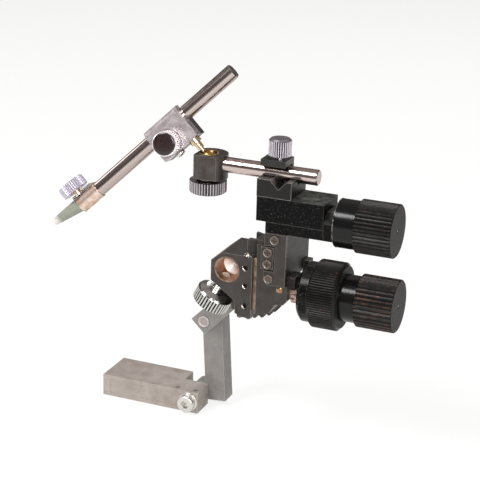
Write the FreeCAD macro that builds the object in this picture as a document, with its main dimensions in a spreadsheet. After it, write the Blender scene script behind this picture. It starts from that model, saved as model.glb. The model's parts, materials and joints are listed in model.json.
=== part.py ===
import FreeCAD, Part
import os
import re
import sys
import Sketcher
from FreeCAD import Placement, Rotation, Vector

# A bench micromanipulator. A flat bar is held by its underside, a swing arm and an elbow bar
# carry the body, and from there a vertical carriage, a fine column and a cross slide lead to a
# clamped rod, a ball head and the long tool rod with its tapered tip.
#
# Millimetres. +Z is up, +X runs along the knob shafts and +Y points away from the viewer. The
# origin is the centre of the underside of the base bar. The body, and all that it carries, is
# drawn from the mouth of its rod bore, which is the local origin of those pieces.

# Each entry is a driving length in millimetres.
SIZES = {
    # shared clearances and cut overrun
    "running_gap": 0.05,
    "sliding_gap": 0.1,
    "parting_gap": 0.15,
    "cut_over": 1.0,
    # base bar and its rear step
    "base_length": 58.2,
    "base_width": 25.6,
    "base_height": 12.3,
    "base_prong": 14.6,
    "base_step": 14.1,
    "base_hinge_inset": 5.7,
    "base_panel_inset": 4.0,
    "base_panel_length": 40.0,
    "base_panel_depth": 0.4,
    "base_panel_edge": 1.6,
    "hinge_bolt_radius": 2.5,
    "hinge_head_radius": 4.7,
    "hinge_head_height": 4.6,
    "hex_socket_radius": 2.4,
    "hex_socket_depth": 2.6,
    "grub_radius": 1.5,
    "grub_length": 3.2,
    "grub_socket_radius": 0.8,
    "grub_socket_depth": 1.2,
    "grub_stand": 0.4,
    # swing arm
    "arm_width": 11.6,
    "arm_depth": 10.7,
    "arm_foot_radius": 5.2,
    "arm_foot_drop": 3.9,
    "arm_pin_x": 10.0,
    "arm_pin_z": 47.2,
    # elbow bar, its pin and the tilt disc
    "elbow_length": 42.8,
    "elbow_width": 11.0,
    "elbow_depth": 10.8,
    "elbow_heel": 5.0,
    "elbow_pin_radius": 3.2,
    "elbow_pin_stand": 0.5,
    "disc_radius": 20.0,
    "disc_thickness": 7.5,
    "disc_notch_radius": 1.5,
    "tilt_bolt_radius": 3.0,
    "tilt_bolt_grip": 8.0,
    "tilt_nut_radius": 5.0,
    "tilt_nut_height": 4.0,
    "key_left": 3.0,
    "key_right": 1.3,
    "key_top": 20.9,
    "key_notch": 1.6,
    # body block, from the mouth of its rod bore
    "body_left": 8.8,
    "body_right": 13.7,
    "body_top": 8.8,
    "body_drop": 24.4,
    "body_depth": 25.7,
    "body_crown_run": 5.9,
    "body_crown_rise": 4.9,
    "body_cheek_run": 13.6,
    "body_cheek_rise": 9.6,
    "body_cheek_drop": 6.8,
    "body_toe_run": 4.0,
    "body_toe_rise": 1.6,
    "tilt_from_bore_x": 3.5,
    "tilt_from_bore_z": 15.0,
    "bore_radius": 6.0,
    "bore_depth": 14.0,
    "bore_point": 3.6,
    "bush_wall": 0.7,
    "way_center": 12.0,
    "way_neck": 5.0,
    "way_wide": 7.5,
    "way_depth": 5.0,
    "gib_thickness": 1.7,
    "gib_trim": 0.5,
    "gib_screw_inset": 3.6,
    "gib_screw_high": 2.4,
    "gib_screw_middle": 7.1,
    "gib_screw_low": 17.9,
    "toe_screw_radius": 1.6,
    "toe_screw_height": 1.2,
    "toe_screw_y": 2.2,
    "toe_screw_shank": 0.8,
    "toe_screw_length": 3.4,
    "top_screw_x": 10.6,
    "top_screw_y": 2.7,
    # bore clamp screw
    "clamp_axis_y": 6.5,
    "clamp_knob_radius": 9.8,
    "clamp_knob_band": 6.4,
    "clamp_knob_dome": 2.8,
    "clamp_knob_neck": 6.3,
    "clamp_knob_center": 21.6,
    "clamp_screw_radius": 2.5,
    "clamp_thread_gap": 0.06,
    # coarse rack and pinion
    "pinion_radius": 3.0,
    "tooth_rise": 0.4,
    "tooth_fall": 0.5,
    "tooth_root": 0.42,
    "tooth_tip": 0.18,
    "pinion_width": 2.9,
    "pinion_start": 9.3,
    "rack_width": 3.0,
    "rack_back": 1.1,
    "channel_front": 3.6,
    "channel_back": 4.8,
    "channel_depth": 12.5,
    # carriage
    "carriage_left": 15.9,
    "carriage_front": 0.5,
    "carriage_inset": 1.7,
    "carriage_top": 16.0,
    "carriage_step": 4.3,
    "carriage_right": 32.5,
    "carriage_drop": 20.5,
    "carriage_toe": 7.4,
    "carriage_heel_drop": 14.8,
    "carriage_heel_run": 6.3,
    "carriage_nose_drop": 12.0,
    "carriage_nose_run": 1.6,
    "tongue_left": 8.9,
    "drive_y": 12.0,
    "drive_z": 8.8,
    "shaft_radius": 1.5,
    "sleeve_wall": 1.65,
    "gear_bore": 4.9,
    "gear_bore_depth": 6.2,
    "stop_left": 18.8,
    "stop_width": 6.6,
    "stop_height": 11.6,
    "stop_low": 4.35,
    "stop_thickness": 1.9,
    "plate_screw_radius": 2.3,
    "plate_screw_height": 0.7,
    "plate_shank_radius": 1.0,
    "plate_shank_length": 4.0,
    "slot_width": 0.5,
    "slot_depth": 0.45,
    "stop_screw_x": 22.4,
    "stop_screw_high": 13.2,
    "stop_screw_low": 7.1,
    "plug_x": 28.5,
    "plug_z": 6.4,
    "plug_radius": 1.6,
    "plug_length": 4.0,
    "collar_radius": 7.3,
    "collar_width": 5.9,
    "collar_tooth_radius": 0.7,
    "flange_radius": 15.5,
    "flange_width": 5.7,
    "flange_rim": 3.0,
    "flange_web": 2.2,
    # fine ring, coarse knob
    "ring_start": 44.8,
    "ring_width": 14.6,
    "ring_radius": 17.5,
    "ring_chamfer": 1.6,
    "ring_flute": 0.6,
    "ring_hole_radius": 1.0,
    "ring_hole_depth": 3.0,
    "ring_hole_circle": 14.8,
    "neck_radius": 12.0,
    "neck_width": 8.6,
    "coarse_knob_radius": 13.5,
    "coarse_knob_width": 19.4,
    "coarse_knob_chamfer": 0.5,
    "knob_flute": 0.7,
    "knob_hole_radius": 1.0,
    "knob_hole_depth": 2.0,
    # fine bevel pair and screw
    "bevel_small": 2.4,
    "bevel_large": 3.8,
    "fine_screw_radius": 2.0,
    "fine_screw_length": 15.0,
    "thrust_thickness": 0.5,
    # column
    "column_left": 24.4,
    "column_right": 31.8,
    "column_front": 0.5,
    "column_back": 32.8,
    "column_bottom": 3.2,
    "column_top": 23.4,
    "column_key_depth": 3.9,
    "column_key_neck": 4.0,
    "column_key_wide": 6.0,
    "column_key_top": 15.8,
    "limit_left": 20.4,
    "limit_strip_left": 26.0,
    "limit_right": 32.0,
    "limit_low": 4.0,
    "limit_slot_low": 3.4,
    "limit_slot_high": 16.9,
    "limit_thickness": 2.0,
    "limit_screw_high_x": 25.9,
    "limit_screw_high_z": 20.2,
    "limit_screw_low_x": 23.3,
    "limit_screw_low_z": 0.6,
    "lug_block_width": 3.0,
    "lug_block_depth": 6.0,
    "lug_block_height": 4.6,
    "lug_block_y": 26.2,
    "lug_block_drop": 2.8,
    # cross slide base and end plate
    "guide_left": 20.0,
    "guide_right": 50.3,
    "guide_height": 5.2,
    "slide_depth": 21.0,
    "slide_center": 10.5,
    "rail_half": 4.6,
    "rail_wide": 6.4,
    "rail_height": 4.0,
    "rail_groove": 2.4,
    "rail_groove_floor": 0.5,
    "rail_gap": 0.15,
    "end_plate_width": 4.6,
    "end_plate_height": 13.6,
    "end_plate_round": 5.0,
    "lead_z": 30.5,
    "lead_radius": 1.9,
    "lead_length": 32.0,
    # cross knob
    "cross_collar_radius": 12.3,
    "cross_collar_width": 11.0,
    "cross_knob_radius": 13.5,
    "cross_knob_width": 19.0,
    "cross_knob_chamfer": 0.5,
    # upper slide and lead nut
    "upper_left": 14.9,
    "upper_right": 50.1,
    "upper_height": 12.6,
    "nut_left": 34.0,
    "nut_length": 8.0,
    "nut_half": 2.2,
    # v block, bridge and thumbscrew
    "vee_left": 14.7,
    "vee_width": 18.2,
    "vee_height": 9.0,
    "vee_cross_x": 26.0,
    "vee_cross_half": 4.4,
    "rod_radius": 4.0,
    "rod_gap": 0.06,
    "rod_rise": 10.5,
    "bridge_left": 14.4,
    "bridge_length": 13.2,
    "bridge_front": 4.8,
    "bridge_back": 16.9,
    "bridge_leg": 2.1,
    "bridge_top": 17.7,
    "thumb_x": 22.4,
    "thumb_shank": 2.3,
    "thumb_head_radius": 5.8,
    "thumb_head_height": 8.6,
    "thumb_head_gap": 1.7,
    "thumb_flute": 0.5,
    "thumb_crown": 1.0,
    # cross rod, socket block and ball head
    "cross_rod_right": 43.4,
    "cross_rod_left": 10.3,
    "socket_x": 15.9,
    "socket_radius": 9.2,
    "socket_shift": 0.95,
    "socket_flat": 7.0,
    "socket_flat_left": 5.5,
    "socket_low": 7.6,
    "socket_high": 4.9,
    "ball_radius": 3.8,
    "ball_drop": 2.4,
    "ball_gap": 0.1,
    "socket_mouth": 4.4,
    "ball_lip": 1.2,
    "socket_nut_radius": 9.6,
    "socket_nut_height": 6.2,
    "socket_nut_space": 1.6,
    "socket_nut_chamfer": 0.5,
    "socket_nut_flute": 0.5,
    "socket_post_radius": 3.6,
    "ball_neck_radius": 1.25,
    "ball_neck_length": 11.8,
    "ball_stud_radius": 1.9,
    "ball_stud_length": 3.4,
    "ball_collar_radius": 3.0,
    "ball_collar_height": 2.5,
    "ball_pin_radius": 1.1,
    "ball_pin_length": 4.0,
    # tool rod clamp, in its own frame on the tool rod's axis
    "jaw_length": 22.1,
    "jaw_high": 5.75,
    "jaw_low": 12.85,
    "jaw_thickness": 6.8,
    "jaw_round": 3.5,
    "rear_jaw_high": 3.0,
    "rear_jaw_round": 1.2,
    "jaw_gap": 0.4,
    "stud_from_center": 6.7,
    "stud_forward": 1.55,
    "jaw_screw_down": 6.55,
    "jaw_screw_left": 2.8,
    "jaw_screw_radius": 2.0,
    "jaw_knob_radius": 6.3,
    "jaw_knob_height": 8.0,
    "jaw_knob_collar": 3.6,
    "jaw_knob_collar_height": 1.5,
    "jaw_knob_cap": 1.6,
    "jaw_nut_radius": 3.2,
    "jaw_nut_height": 2.4,
    # tool rod and tip
    "tool_rod_radius": 4.0,
    "tool_rod_low": 55.9,
    "tool_rod_high": 44.7,
    "tip_sleeve_wall": 0.35,
    "tip_sleeve_length": 13.3,
    "tip_sleeve_end": 7.2,
    "tip_base_radius": 3.8,
    "tip_rise": 0.5,
    "tip_end_radius": 1.9,
    "tip_length": 17.1,
    "tip_bore": 0.6,
    "tip_seat_radius": 3.0,
    "lug_length": 16.4,
    "lug_rise": 6.2,
    "lug_width": 1.7,
    "lug_back": 2.1,
    "lug_forward": 9.5,
    "tip_knob_forward": 4.3,
    "tip_knob_radius": 7.4,
    "tip_knob_height": 5.4,
    "tip_knob_stand": 7.2,
    "tip_stud_radius": 2.0,
    "tip_knob_flute": 0.4,
}

# Angles in degrees, and how often a form repeats round its axis.
ANGLES = {
    "arm_lean": 3.8,
    "elbow_angle": 45.6,
    "clamp_angle": 62.2,
    "holder_swing_angle": 17.44,
    "holder_rise_angle": 44.0,
    "holder_roll_angle": -13.06,
}
SHARES = {
    "flute_share": 0.75,
}
COUNTS = {
    "pinion_teeth": 12,
    "rack_teeth": 17,
    "disc_notches": 28,
    "ring_flutes": 84,
    "coarse_flutes": 36,
    "cross_flutes": 42,
    "clamp_flutes": 36,
    "thumb_flutes": 30,
    "socket_flutes": 40,
    "jaw_flutes": 36,
    "tip_flutes": 36,
    "collar_teeth": 16,
}

# Places that follow from the sizes, worked out by the second sheet.
PLACES = {
    "hinge_x": "base_length / 2 - base_hinge_inset",
    "hinge_z": "base_height / 2",
    "arm_front": "-base_width / 2 + base_prong + parting_gap",
    "pin_x": "hinge_x + arm_pin_x * cos(arm_lean * 1 deg) - arm_pin_z * sin(arm_lean * 1 deg)",
    "pin_z": "hinge_z + arm_pin_x * sin(arm_lean * 1 deg) + arm_pin_z * cos(arm_lean * 1 deg)",
    "elbow_back": "arm_front - parting_gap",
    "disc_back": "elbow_back - elbow_depth",
    "body_back": "disc_back - disc_thickness - parting_gap",
    "tilt_x": "pin_x + elbow_length * cos(elbow_angle * 1 deg)",
    "tilt_z": "pin_z + elbow_length * sin(elbow_angle * 1 deg)",
    "bore_x": "tilt_x - tilt_from_bore_x",
    "bore_y": "body_back - body_depth",
    "bore_z": "tilt_z + tilt_from_bore_z",
    "tooth_pitch": "pinion_radius * 2 * pi / pinion_teeth",
    "guide_top": "column_top + guide_height",
    "upper_top": "guide_top + sliding_gap + upper_height",
    "vee_top": "upper_top + vee_height",
    "rod_z": "upper_top + rod_rise",
    "carriage_depth": "body_depth - carriage_inset - carriage_front",
    "bevel_x": "carriage_right - thrust_thickness * 2 - bevel_large - parting_gap * 2 - sliding_gap",
    "knob_x": "guide_right + end_plate_width + parting_gap",
    "ball_z": "rod_z + socket_high - ball_drop",
    "ball_reach": "ball_neck_length + jaw_low",
}

doc = FreeCAD.newDocument("micromanipulator")
sizes = doc.addObject("Spreadsheet::Sheet", "sizes")
places = doc.addObject("Spreadsheet::Sheet", "places")
PLANES = {"top": "XY_Plane", "front": "XZ_Plane", "side": "YZ_Plane"}
PARTS = []


def fill_sheets():
    """Write every driving value, then every place that follows from them."""
    rows = [row for table in (SIZES, ANGLES, SHARES, COUNTS) for row in table.items()]
    for row, (name, value) in enumerate(rows, start=1):
        sizes.set("A%d" % row, name)
        sizes.set("B%d" % row, str(value))
        sizes.setAlias("B%d" % row, name)
    doc.recompute()
    for row, (name, formula) in enumerate(PLACES.items(), start=1):
        places.set("A%d" % row, name)
        places.set("B%d" % row, "=" + bound(formula))
        places.setAlias("B%d" % row, name)
        doc.recompute()


def bound(formula):
    """Point each name in a formula at the sheet that holds it."""

    def home(match):
        name = match.group(0)
        if name in PLACES:
            return "places." + name
        if any(name in table for table in (SIZES, ANGLES, SHARES, COUNTS)):
            return "sizes." + name
        return name

    return re.sub(r"[a-z_][a-z_0-9]*", home, formula)


def value(formula):
    """Work out a formula of sheet names as a plain number."""
    result = sizes.evalExpression(bound(formula))
    return float(getattr(result, "Value", result))


def new_body(label):
    body = doc.addObject("PartDesign::Body", label)
    body.Label = label
    PARTS.append(body)
    return body


def new_sketch(body, plane, start="0"):
    """A sketch on one of the body's own planes, moved along the plane's normal by start."""
    sketch = body.newObject("Sketcher::SketchObject", body.Label + "_sketch")
    role = PLANES[plane]
    origin_plane = [item for item in body.Origin.OriginFeatures if item.Role == role][0]
    sketch.AttachmentSupport = [(origin_plane, "")]
    sketch.MapMode = "FlatFace"
    # The front plane's normal is -Y, so a start counts towards the back there.
    signed = "-(%s)" % start if plane == "front" else start
    sketch.AttachmentOffset = Placement(Vector(0, 0, value(signed)), Rotation())
    sketch.setExpression("AttachmentOffset.Base.z", bound(signed))
    return sketch


def draw(sketch, corners):
    """A closed outline through corners, each a pair of formulas, every one of them fixed."""
    points = [Vector(value(across), value(along), 0) for across, along in corners]
    following = points[1:] + points[:1]
    first = sketch.GeometryCount
    for begin, end in zip(points, following):
        sketch.addGeometry(Part.LineSegment(begin, end), False)
    for index in range(len(points)):
        after = (index + 1) % len(points)
        sketch.addConstraint(Sketcher.Constraint("Coincident", first + index, 2, first + after, 1))
    for index, (across, along) in enumerate(corners):
        for kind, formula in (("DistanceX", across), ("DistanceY", along)):
            number = value(formula)
            fixed = sketch.addConstraint(Sketcher.Constraint(kind, first + index, 1, number))
            sketch.setExpression("Constraints[%d]" % fixed, bound(formula))


def draw_circle(sketch, across, along, radius):
    """A circle with its centre and radius fixed by formulas."""
    centre = Vector(value(across), value(along), 0)
    index = sketch.addGeometry(Part.Circle(centre, Vector(0, 0, 1), value(radius)), False)
    limits = [
        (Sketcher.Constraint("Radius", index, value(radius)), radius),
        (Sketcher.Constraint("DistanceX", index, 3, centre.x), across),
        (Sketcher.Constraint("DistanceY", index, 3, centre.y), along),
    ]
    for constraint, formula in limits:
        fixed = sketch.addConstraint(constraint)
        sketch.setExpression("Constraints[%d]" % fixed, bound(formula))


def extrude(body, kind, sketch, length, forward=True):
    """Pad or Pocket. Forward is +X, +Y or +Z, whichever the sketch's plane faces."""
    feature = body.newObject("PartDesign::" + kind, body.Label + "_" + kind.lower())
    feature.Profile = sketch
    feature.Length = value(length)
    feature.setExpression("Length", bound(length))
    along_normal = forward
    if sketch.AttachmentSupport[0][0].Role == "XZ_Plane":
        along_normal = not forward
    # A pocket runs against its sketch's normal unless it is reversed.
    feature.Reversed = along_normal if kind == "Pocket" else not along_normal
    sketch.Visibility = False
    return feature


def pad(body, plane, corners, start, length):
    sketch = new_sketch(body, plane, start)
    draw(sketch, corners)
    return extrude(body, "Pad", sketch, length)


def pocket(body, plane, corners, start, length):
    sketch = new_sketch(body, plane, start)
    draw(sketch, corners)
    return extrude(body, "Pocket", sketch, length)


def post(body, plane, across, along, radius, start, length):
    sketch = new_sketch(body, plane, start)
    draw_circle(sketch, across, along, radius)
    return extrude(body, "Pad", sketch, length)


def drill(body, plane, across, along, radius, start, length):
    sketch = new_sketch(body, plane, start)
    draw_circle(sketch, across, along, radius)
    return extrude(body, "Pocket", sketch, length)


def turn(body, outline, kind="Revolution"):
    """Revolve an outline of (radius, height) corners about the body's own Z axis."""
    sketch = new_sketch(body, "front")
    draw(sketch, outline)
    feature = body.newObject("PartDesign::" + kind, body.Label + "_turned")
    feature.Profile = sketch
    feature.ReferenceAxis = (sketch, ["V_Axis"])
    feature.Angle = 360
    sketch.Visibility = False
    return feature


def repeat_round(body, feature, count):
    """Copy a cut round the body's Z axis."""
    doc.recompute()
    pattern = body.newObject("PartDesign::PolarPattern", body.Label + "_round")
    pattern.Originals = [feature]
    z_axis = [item for item in body.Origin.OriginFeatures if item.Role == "Z_Axis"][0]
    pattern.Axis = (z_axis, [""])
    pattern.Angle = 360
    pattern.Occurrences = int(value(count))
    pattern.setExpression("Occurrences", bound(count))
    body.Tip = pattern
    return pattern


def flutes(body, radius, depth, count, start, length):
    """V flutes cut along the rim of a turned piece."""
    half = "%s * pi / %s * flute_share * (%s + cut_over) / %s" % (radius, count, depth, depth)
    corners = [
        ("%s - %s" % (radius, depth), "0"),
        ("%s + cut_over" % radius, "-" + half),
        ("%s + cut_over" % radius, half),
    ]
    sketch = new_sketch(body, "top", start)
    draw(sketch, corners)
    cut = extrude(body, "Pocket", sketch, length)
    repeat_round(body, cut, count)


def place(body, x="0", y="0", z="0", rotation=None):
    """Put a piece at formulas of the sheet, turned by a rotation."""
    position = Vector(value(x), value(y), value(z))
    body.Placement = Placement(position, rotation or Rotation())
    for axis, formula in (("x", x), ("y", y), ("z", z)):
        body.setExpression("Placement.Base." + axis, bound(formula))


def place_on_body(body, x="0", y="0", z="0", rotation=None):
    """Put a piece at a distance from the mouth of the rod bore."""
    place(body, "bore_x + " + x, "bore_y + " + y, "bore_z + " + z, rotation)


def holder_rotation():
    """The turn of the tool rod: local X runs up the rod and local -Y faces the viewer."""
    swing = Rotation(Vector(0, 0, 1), value("holder_swing_angle"))
    rise = Rotation(Vector(0, 1, 0), -value("holder_rise_angle"))
    roll = Rotation(Vector(1, 0, 0), value("holder_roll_angle"))
    return swing * rise * roll


def holder_turned(x, y, z, rotation=None):
    """The placement of a piece at x, y and z along the tool rod's own directions."""
    local = Vector(value(x), value(y), value(z))
    reach = Vector(value("stud_from_center"), -value("stud_forward"), -value("ball_reach"))
    ball = Vector(value("bore_x - socket_x"), value("bore_y + slide_center"), value("bore_z + ball_z"))
    turned = holder_rotation()
    return Placement(ball + turned.multVec(local - reach), turned * (rotation or Rotation()))


def place_on_rod(body, x="0", y="0", z="0", rotation=None):
    """Put a piece in the frame of the tool rod, whose origin is the middle of its clamp."""
    body.Placement = holder_turned(x, y, z, rotation)


# Turned pieces are drawn about Z. These rotations lay that axis along another one.
ALONG_X = Rotation(Vector(0, 1, 0), 90)
ALONG_Y = Rotation(Vector(1, 0, 0), -90)
TOWARDS_VIEWER = Rotation(Vector(1, 0, 0), 90)


def rectangle(left, right, low, high):
    return [(left, low), (right, low), (right, high), (left, high)]


def base_bar():
    bar = new_body("base_bar")
    half = "base_length / 2"
    pad(bar, "front", rectangle("-" + half, half, "0", "base_height"), "-base_width / 2", "base_width")
    step = rectangle(half + " - base_step", half + " + cut_over", "-cut_over", "base_height + cut_over")
    pocket(bar, "front", step, "-base_width / 2 + base_prong", "base_width")
    drill(bar, "front", "hinge_x", "hinge_z", "hinge_bolt_radius + running_gap",
          "-base_width / 2 - cut_over", "base_prong + cut_over * 2")
    panel_left = "-%s + base_panel_inset" % half
    panel = rectangle(panel_left, panel_left + " + base_panel_length",
                      "base_panel_edge", "base_height - base_panel_edge")
    pocket(bar, "front", panel, "-base_width / 2 - cut_over", "cut_over + base_panel_depth")
    for offset in ("-grub_radius * 5", "grub_radius * 2"):
        drill(bar, "top", "hinge_x + " + offset, "-base_width / 2 + grub_radius * 2",
              "grub_radius", "base_height - grub_length", "grub_length + cut_over")


def grub_screw(label):
    """A headless screw with a socket, drawn with its outer end at the local origin."""
    screw = new_body(label)
    turn(screw, [("0", "-grub_length"), ("grub_radius", "-grub_length"),
                 ("grub_radius", "0"), ("grub_socket_radius", "0"),
                 ("grub_socket_radius", "-grub_socket_depth"), ("0", "-grub_socket_depth")])
    return screw


def base_screws():
    bolt = new_body("arm_hinge_bolt")
    turn(bolt, [("0", "-base_prong - arm_depth"), ("hinge_bolt_radius", "-base_prong - arm_depth"),
                ("hinge_bolt_radius", "0"), ("hinge_head_radius", "0"),
                ("hinge_head_radius", "hinge_head_height - running_gap * 8"),
                ("hinge_head_radius - running_gap * 8", "hinge_head_height"),
                ("0", "hinge_head_height")])
    corners = []
    for turn_index in range(6):
        angle = "%d * 60 deg" % turn_index
        corners.append(("hex_socket_radius * cos(%s)" % angle, "hex_socket_radius * sin(%s)" % angle))
    pocket(bolt, "top", corners, "hinge_head_height - hex_socket_depth", "hex_socket_depth + cut_over")
    place(bolt, "hinge_x", "-base_width / 2", "hinge_z", TOWARDS_VIEWER)
    for name, offset in (("base_grub_left", "-grub_radius * 5"), ("base_grub_right", "grub_radius * 2")):
        place(grub_screw(name), "hinge_x + " + offset, "-base_width / 2 + grub_radius * 2", "base_height")


def swing_arm():
    arm = new_body("swing_arm")
    leg_left = "arm_pin_x - arm_width / 2"
    leg_right = "arm_pin_x + arm_width / 2"
    pad(arm, "front", rectangle(leg_left, leg_right, "-arm_foot_drop", "arm_pin_z"), "0", "arm_depth")
    pad(arm, "front", rectangle("0", leg_right, "-arm_foot_drop", "arm_foot_radius"), "0", "arm_depth")
    post(arm, "front", "0", "0", "arm_foot_radius", "0", "arm_depth")
    post(arm, "front", "arm_pin_x", "arm_pin_z", "arm_width / 2", "0", "arm_depth")
    drill(arm, "front", "0", "0", "hinge_bolt_radius + running_gap", "-cut_over", "arm_depth + cut_over * 2")
    drill(arm, "front", "arm_pin_x", "arm_pin_z", "elbow_pin_radius + running_gap", "-cut_over",
          "arm_depth + cut_over * 2")
    place(arm, "hinge_x", "arm_front", "hinge_z", Rotation(Vector(0, 1, 0), -value("arm_lean")))


def elbow_turn():
    return Rotation(Vector(0, 1, 0), -value("elbow_angle"))


def elbow():
    """The bar from the arm's pin to the disc, drawn level with the pin at the origin."""
    bar = new_body("elbow_bar")
    half = "elbow_width / 2"
    pad(bar, "front", rectangle("-elbow_heel", "elbow_length", "-" + half, half), "-elbow_depth",
        "elbow_depth")
    post(bar, "front", "elbow_length", "0", half, "-elbow_depth", "elbow_depth")
    for across, radius in (("0", "elbow_pin_radius"), ("elbow_length", "tilt_bolt_radius + running_gap")):
        drill(bar, "front", across, "0", radius, "-elbow_depth - cut_over", "elbow_depth + cut_over * 2")
    place(bar, "pin_x", "elbow_back", "pin_z", elbow_turn())

    pin = new_body("elbow_pin")
    turn(pin, [("0", "-arm_depth"), ("elbow_pin_radius", "-arm_depth"),
               ("elbow_pin_radius", "elbow_depth + elbow_pin_stand"),
               ("0", "elbow_depth + elbow_pin_stand")])
    place(pin, "pin_x", "elbow_back", "pin_z", TOWARDS_VIEWER)


def tilt_disc():
    """The notched disc behind the body, drawn about Z with its back face at the origin."""
    disc = new_body("tilt_disc")
    turn(disc, [("tilt_bolt_radius + running_gap", "0"), ("disc_radius", "0"),
                ("disc_radius", "disc_thickness"), ("tilt_bolt_radius + running_gap", "disc_thickness")])
    notch = drill(disc, "top", "disc_radius", "0", "disc_notch_radius", "-cut_over",
                  "disc_thickness + cut_over * 2")
    repeat_round(disc, notch, "disc_notches")
    place(disc, "tilt_x", "disc_back", "tilt_z", TOWARDS_VIEWER)

    key = new_body("tilt_index_key")
    sketch_corners = [("-key_left", "disc_radius * 0.94"), ("key_right + key_notch", "disc_radius * 0.94"),
                      ("key_right + key_notch", "key_top - key_notch"),
                      ("key_right", "key_top"), ("-key_left + key_notch / 2", "key_top"),
                      ("-key_left", "key_top - key_notch / 2")]
    pad(key, "front", sketch_corners, "0", "key_notch")
    place(key, "tilt_x", "disc_back", "tilt_z")


def body_block():
    block = new_body("body_block")
    crown_x = "-body_left + body_crown_run"
    cheek_x = "-body_left + body_cheek_run"
    cheek_z = "-body_cheek_drop - body_cheek_rise"
    corners = [("-body_left", "-body_cheek_drop"), (cheek_x, cheek_z),
               (cheek_x, "-body_drop + body_toe_rise"), (cheek_x + " + body_toe_run", "-body_drop"),
               ("body_right", "-body_drop"), ("body_right", "body_top"),
               (crown_x, "body_top"), ("-body_left", "body_top - body_crown_rise")]
    pad(block, "front", corners, "0", "body_depth")
    way = [("body_right + cut_over", "way_center - way_neck - gib_thickness"),
           ("body_right + cut_over", "way_center + way_neck"),
           ("body_right", "way_center + way_neck"),
           ("body_right - way_depth", "way_center + way_wide"),
           ("body_right - way_depth", "way_center - way_wide - gib_thickness"),
           ("body_right", "way_center - way_neck - gib_thickness")]
    pocket(block, "top", way, "-body_drop - cut_over", "body_drop + body_top + cut_over * 2")
    drill(block, "front", "0", "0", "bore_radius + bush_wall", "-cut_over", "bore_depth + cut_over")
    drill(block, "front", "tilt_from_bore_x", "-tilt_from_bore_z", "tilt_bolt_radius",
          "body_depth - tilt_bolt_grip", "tilt_bolt_grip + cut_over")
    for height in ("gib_screw_high", "-gib_screw_middle", "-gib_screw_low"):
        drill(block, "front", "body_right - gib_screw_inset", height, "grub_radius", "-cut_over",
              "way_center + cut_over - way_neck - gib_thickness")
    for across in ("body_right - toe_screw_radius * 4.2", "body_right - toe_screw_radius * 1.3"):
        drill(block, "top", across, "toe_screw_y", "toe_screw_shank", "-body_drop - cut_over",
              "toe_screw_length + cut_over")
    drill(block, "top", "top_screw_x", "top_screw_y", "toe_screw_shank",
          "body_top - toe_screw_length", "toe_screw_length + cut_over")
    slanted_drill(block)
    place_on_body(block)


def slanted_drill(block):
    """The bore clamp screw's hole, square to the line from the rod bore to the knob."""
    sketch = new_sketch(block, "top")
    across = Rotation(Vector(0, 1, 0), -(90 + value("clamp_angle")))
    sketch.AttachmentOffset = Placement(Vector(0, value("clamp_axis_y"), 0), across)
    sketch.setExpression("AttachmentOffset.Base.y", bound("clamp_axis_y"))
    draw_circle(sketch, "0", "0", "clamp_screw_radius + clamp_thread_gap")
    extrude(block, "Pocket", sketch, "clamp_knob_center")


def bore_bush():
    """The thin bronze liner of the rod bore, with the pointed floor that a drill leaves."""
    bush = new_body("bore_bush")
    wall = "bore_radius + bush_wall"
    turn(bush, [("bore_radius", "0"), (wall, "0"), (wall, "bore_depth"), ("0", "bore_depth"),
                ("0", "bore_depth - bush_wall"), ("bore_radius", "bore_depth - bore_point")])
    sketch = new_sketch(bush, "top")
    outward = Rotation(Vector(1, 0, 0), 90) * Rotation(Vector(0, 1, 0), -(90 + value("clamp_angle")))
    sketch.AttachmentOffset = Placement(Vector(0, 0, value("clamp_axis_y")), outward)
    sketch.setExpression("AttachmentOffset.Base.z", bound("clamp_axis_y"))
    draw_circle(sketch, "0", "0", "clamp_screw_radius + clamp_thread_gap")
    extrude(bush, "Pocket", sketch, "clamp_knob_center")
    place_on_body(bush, rotation=ALONG_Y)


def bore_clamp_screw():
    """The chrome screw that grips a rod in the bore, drawn outwards from the bore's axis."""
    screw = new_body("bore_clamp_screw")
    shoulder = "clamp_knob_center - clamp_knob_band / 2"
    neck = shoulder + " - clamp_knob_dome"
    outer = "clamp_knob_center + clamp_knob_band / 2"
    turn(screw, [("0", "bore_radius + sliding_gap"), ("clamp_screw_radius", "bore_radius + sliding_gap"),
                 ("clamp_screw_radius", neck), ("clamp_knob_neck", neck),
                 ("clamp_knob_radius - clamp_knob_dome / 4", shoulder + " - clamp_knob_dome / 3"),
                 ("clamp_knob_radius", shoulder), ("clamp_knob_radius", outer),
                 ("clamp_knob_neck", outer + " + clamp_knob_dome / 3"),
                 ("0", outer + " + clamp_knob_dome / 3")])
    flutes(screw, "clamp_knob_radius", "thumb_flute", "clamp_flutes", shoulder,
           "clamp_knob_band + clamp_knob_dome")
    place_on_body(screw, y="clamp_axis_y", rotation=Rotation(Vector(0, 1, 0), -(90 + value("clamp_angle"))))


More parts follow.
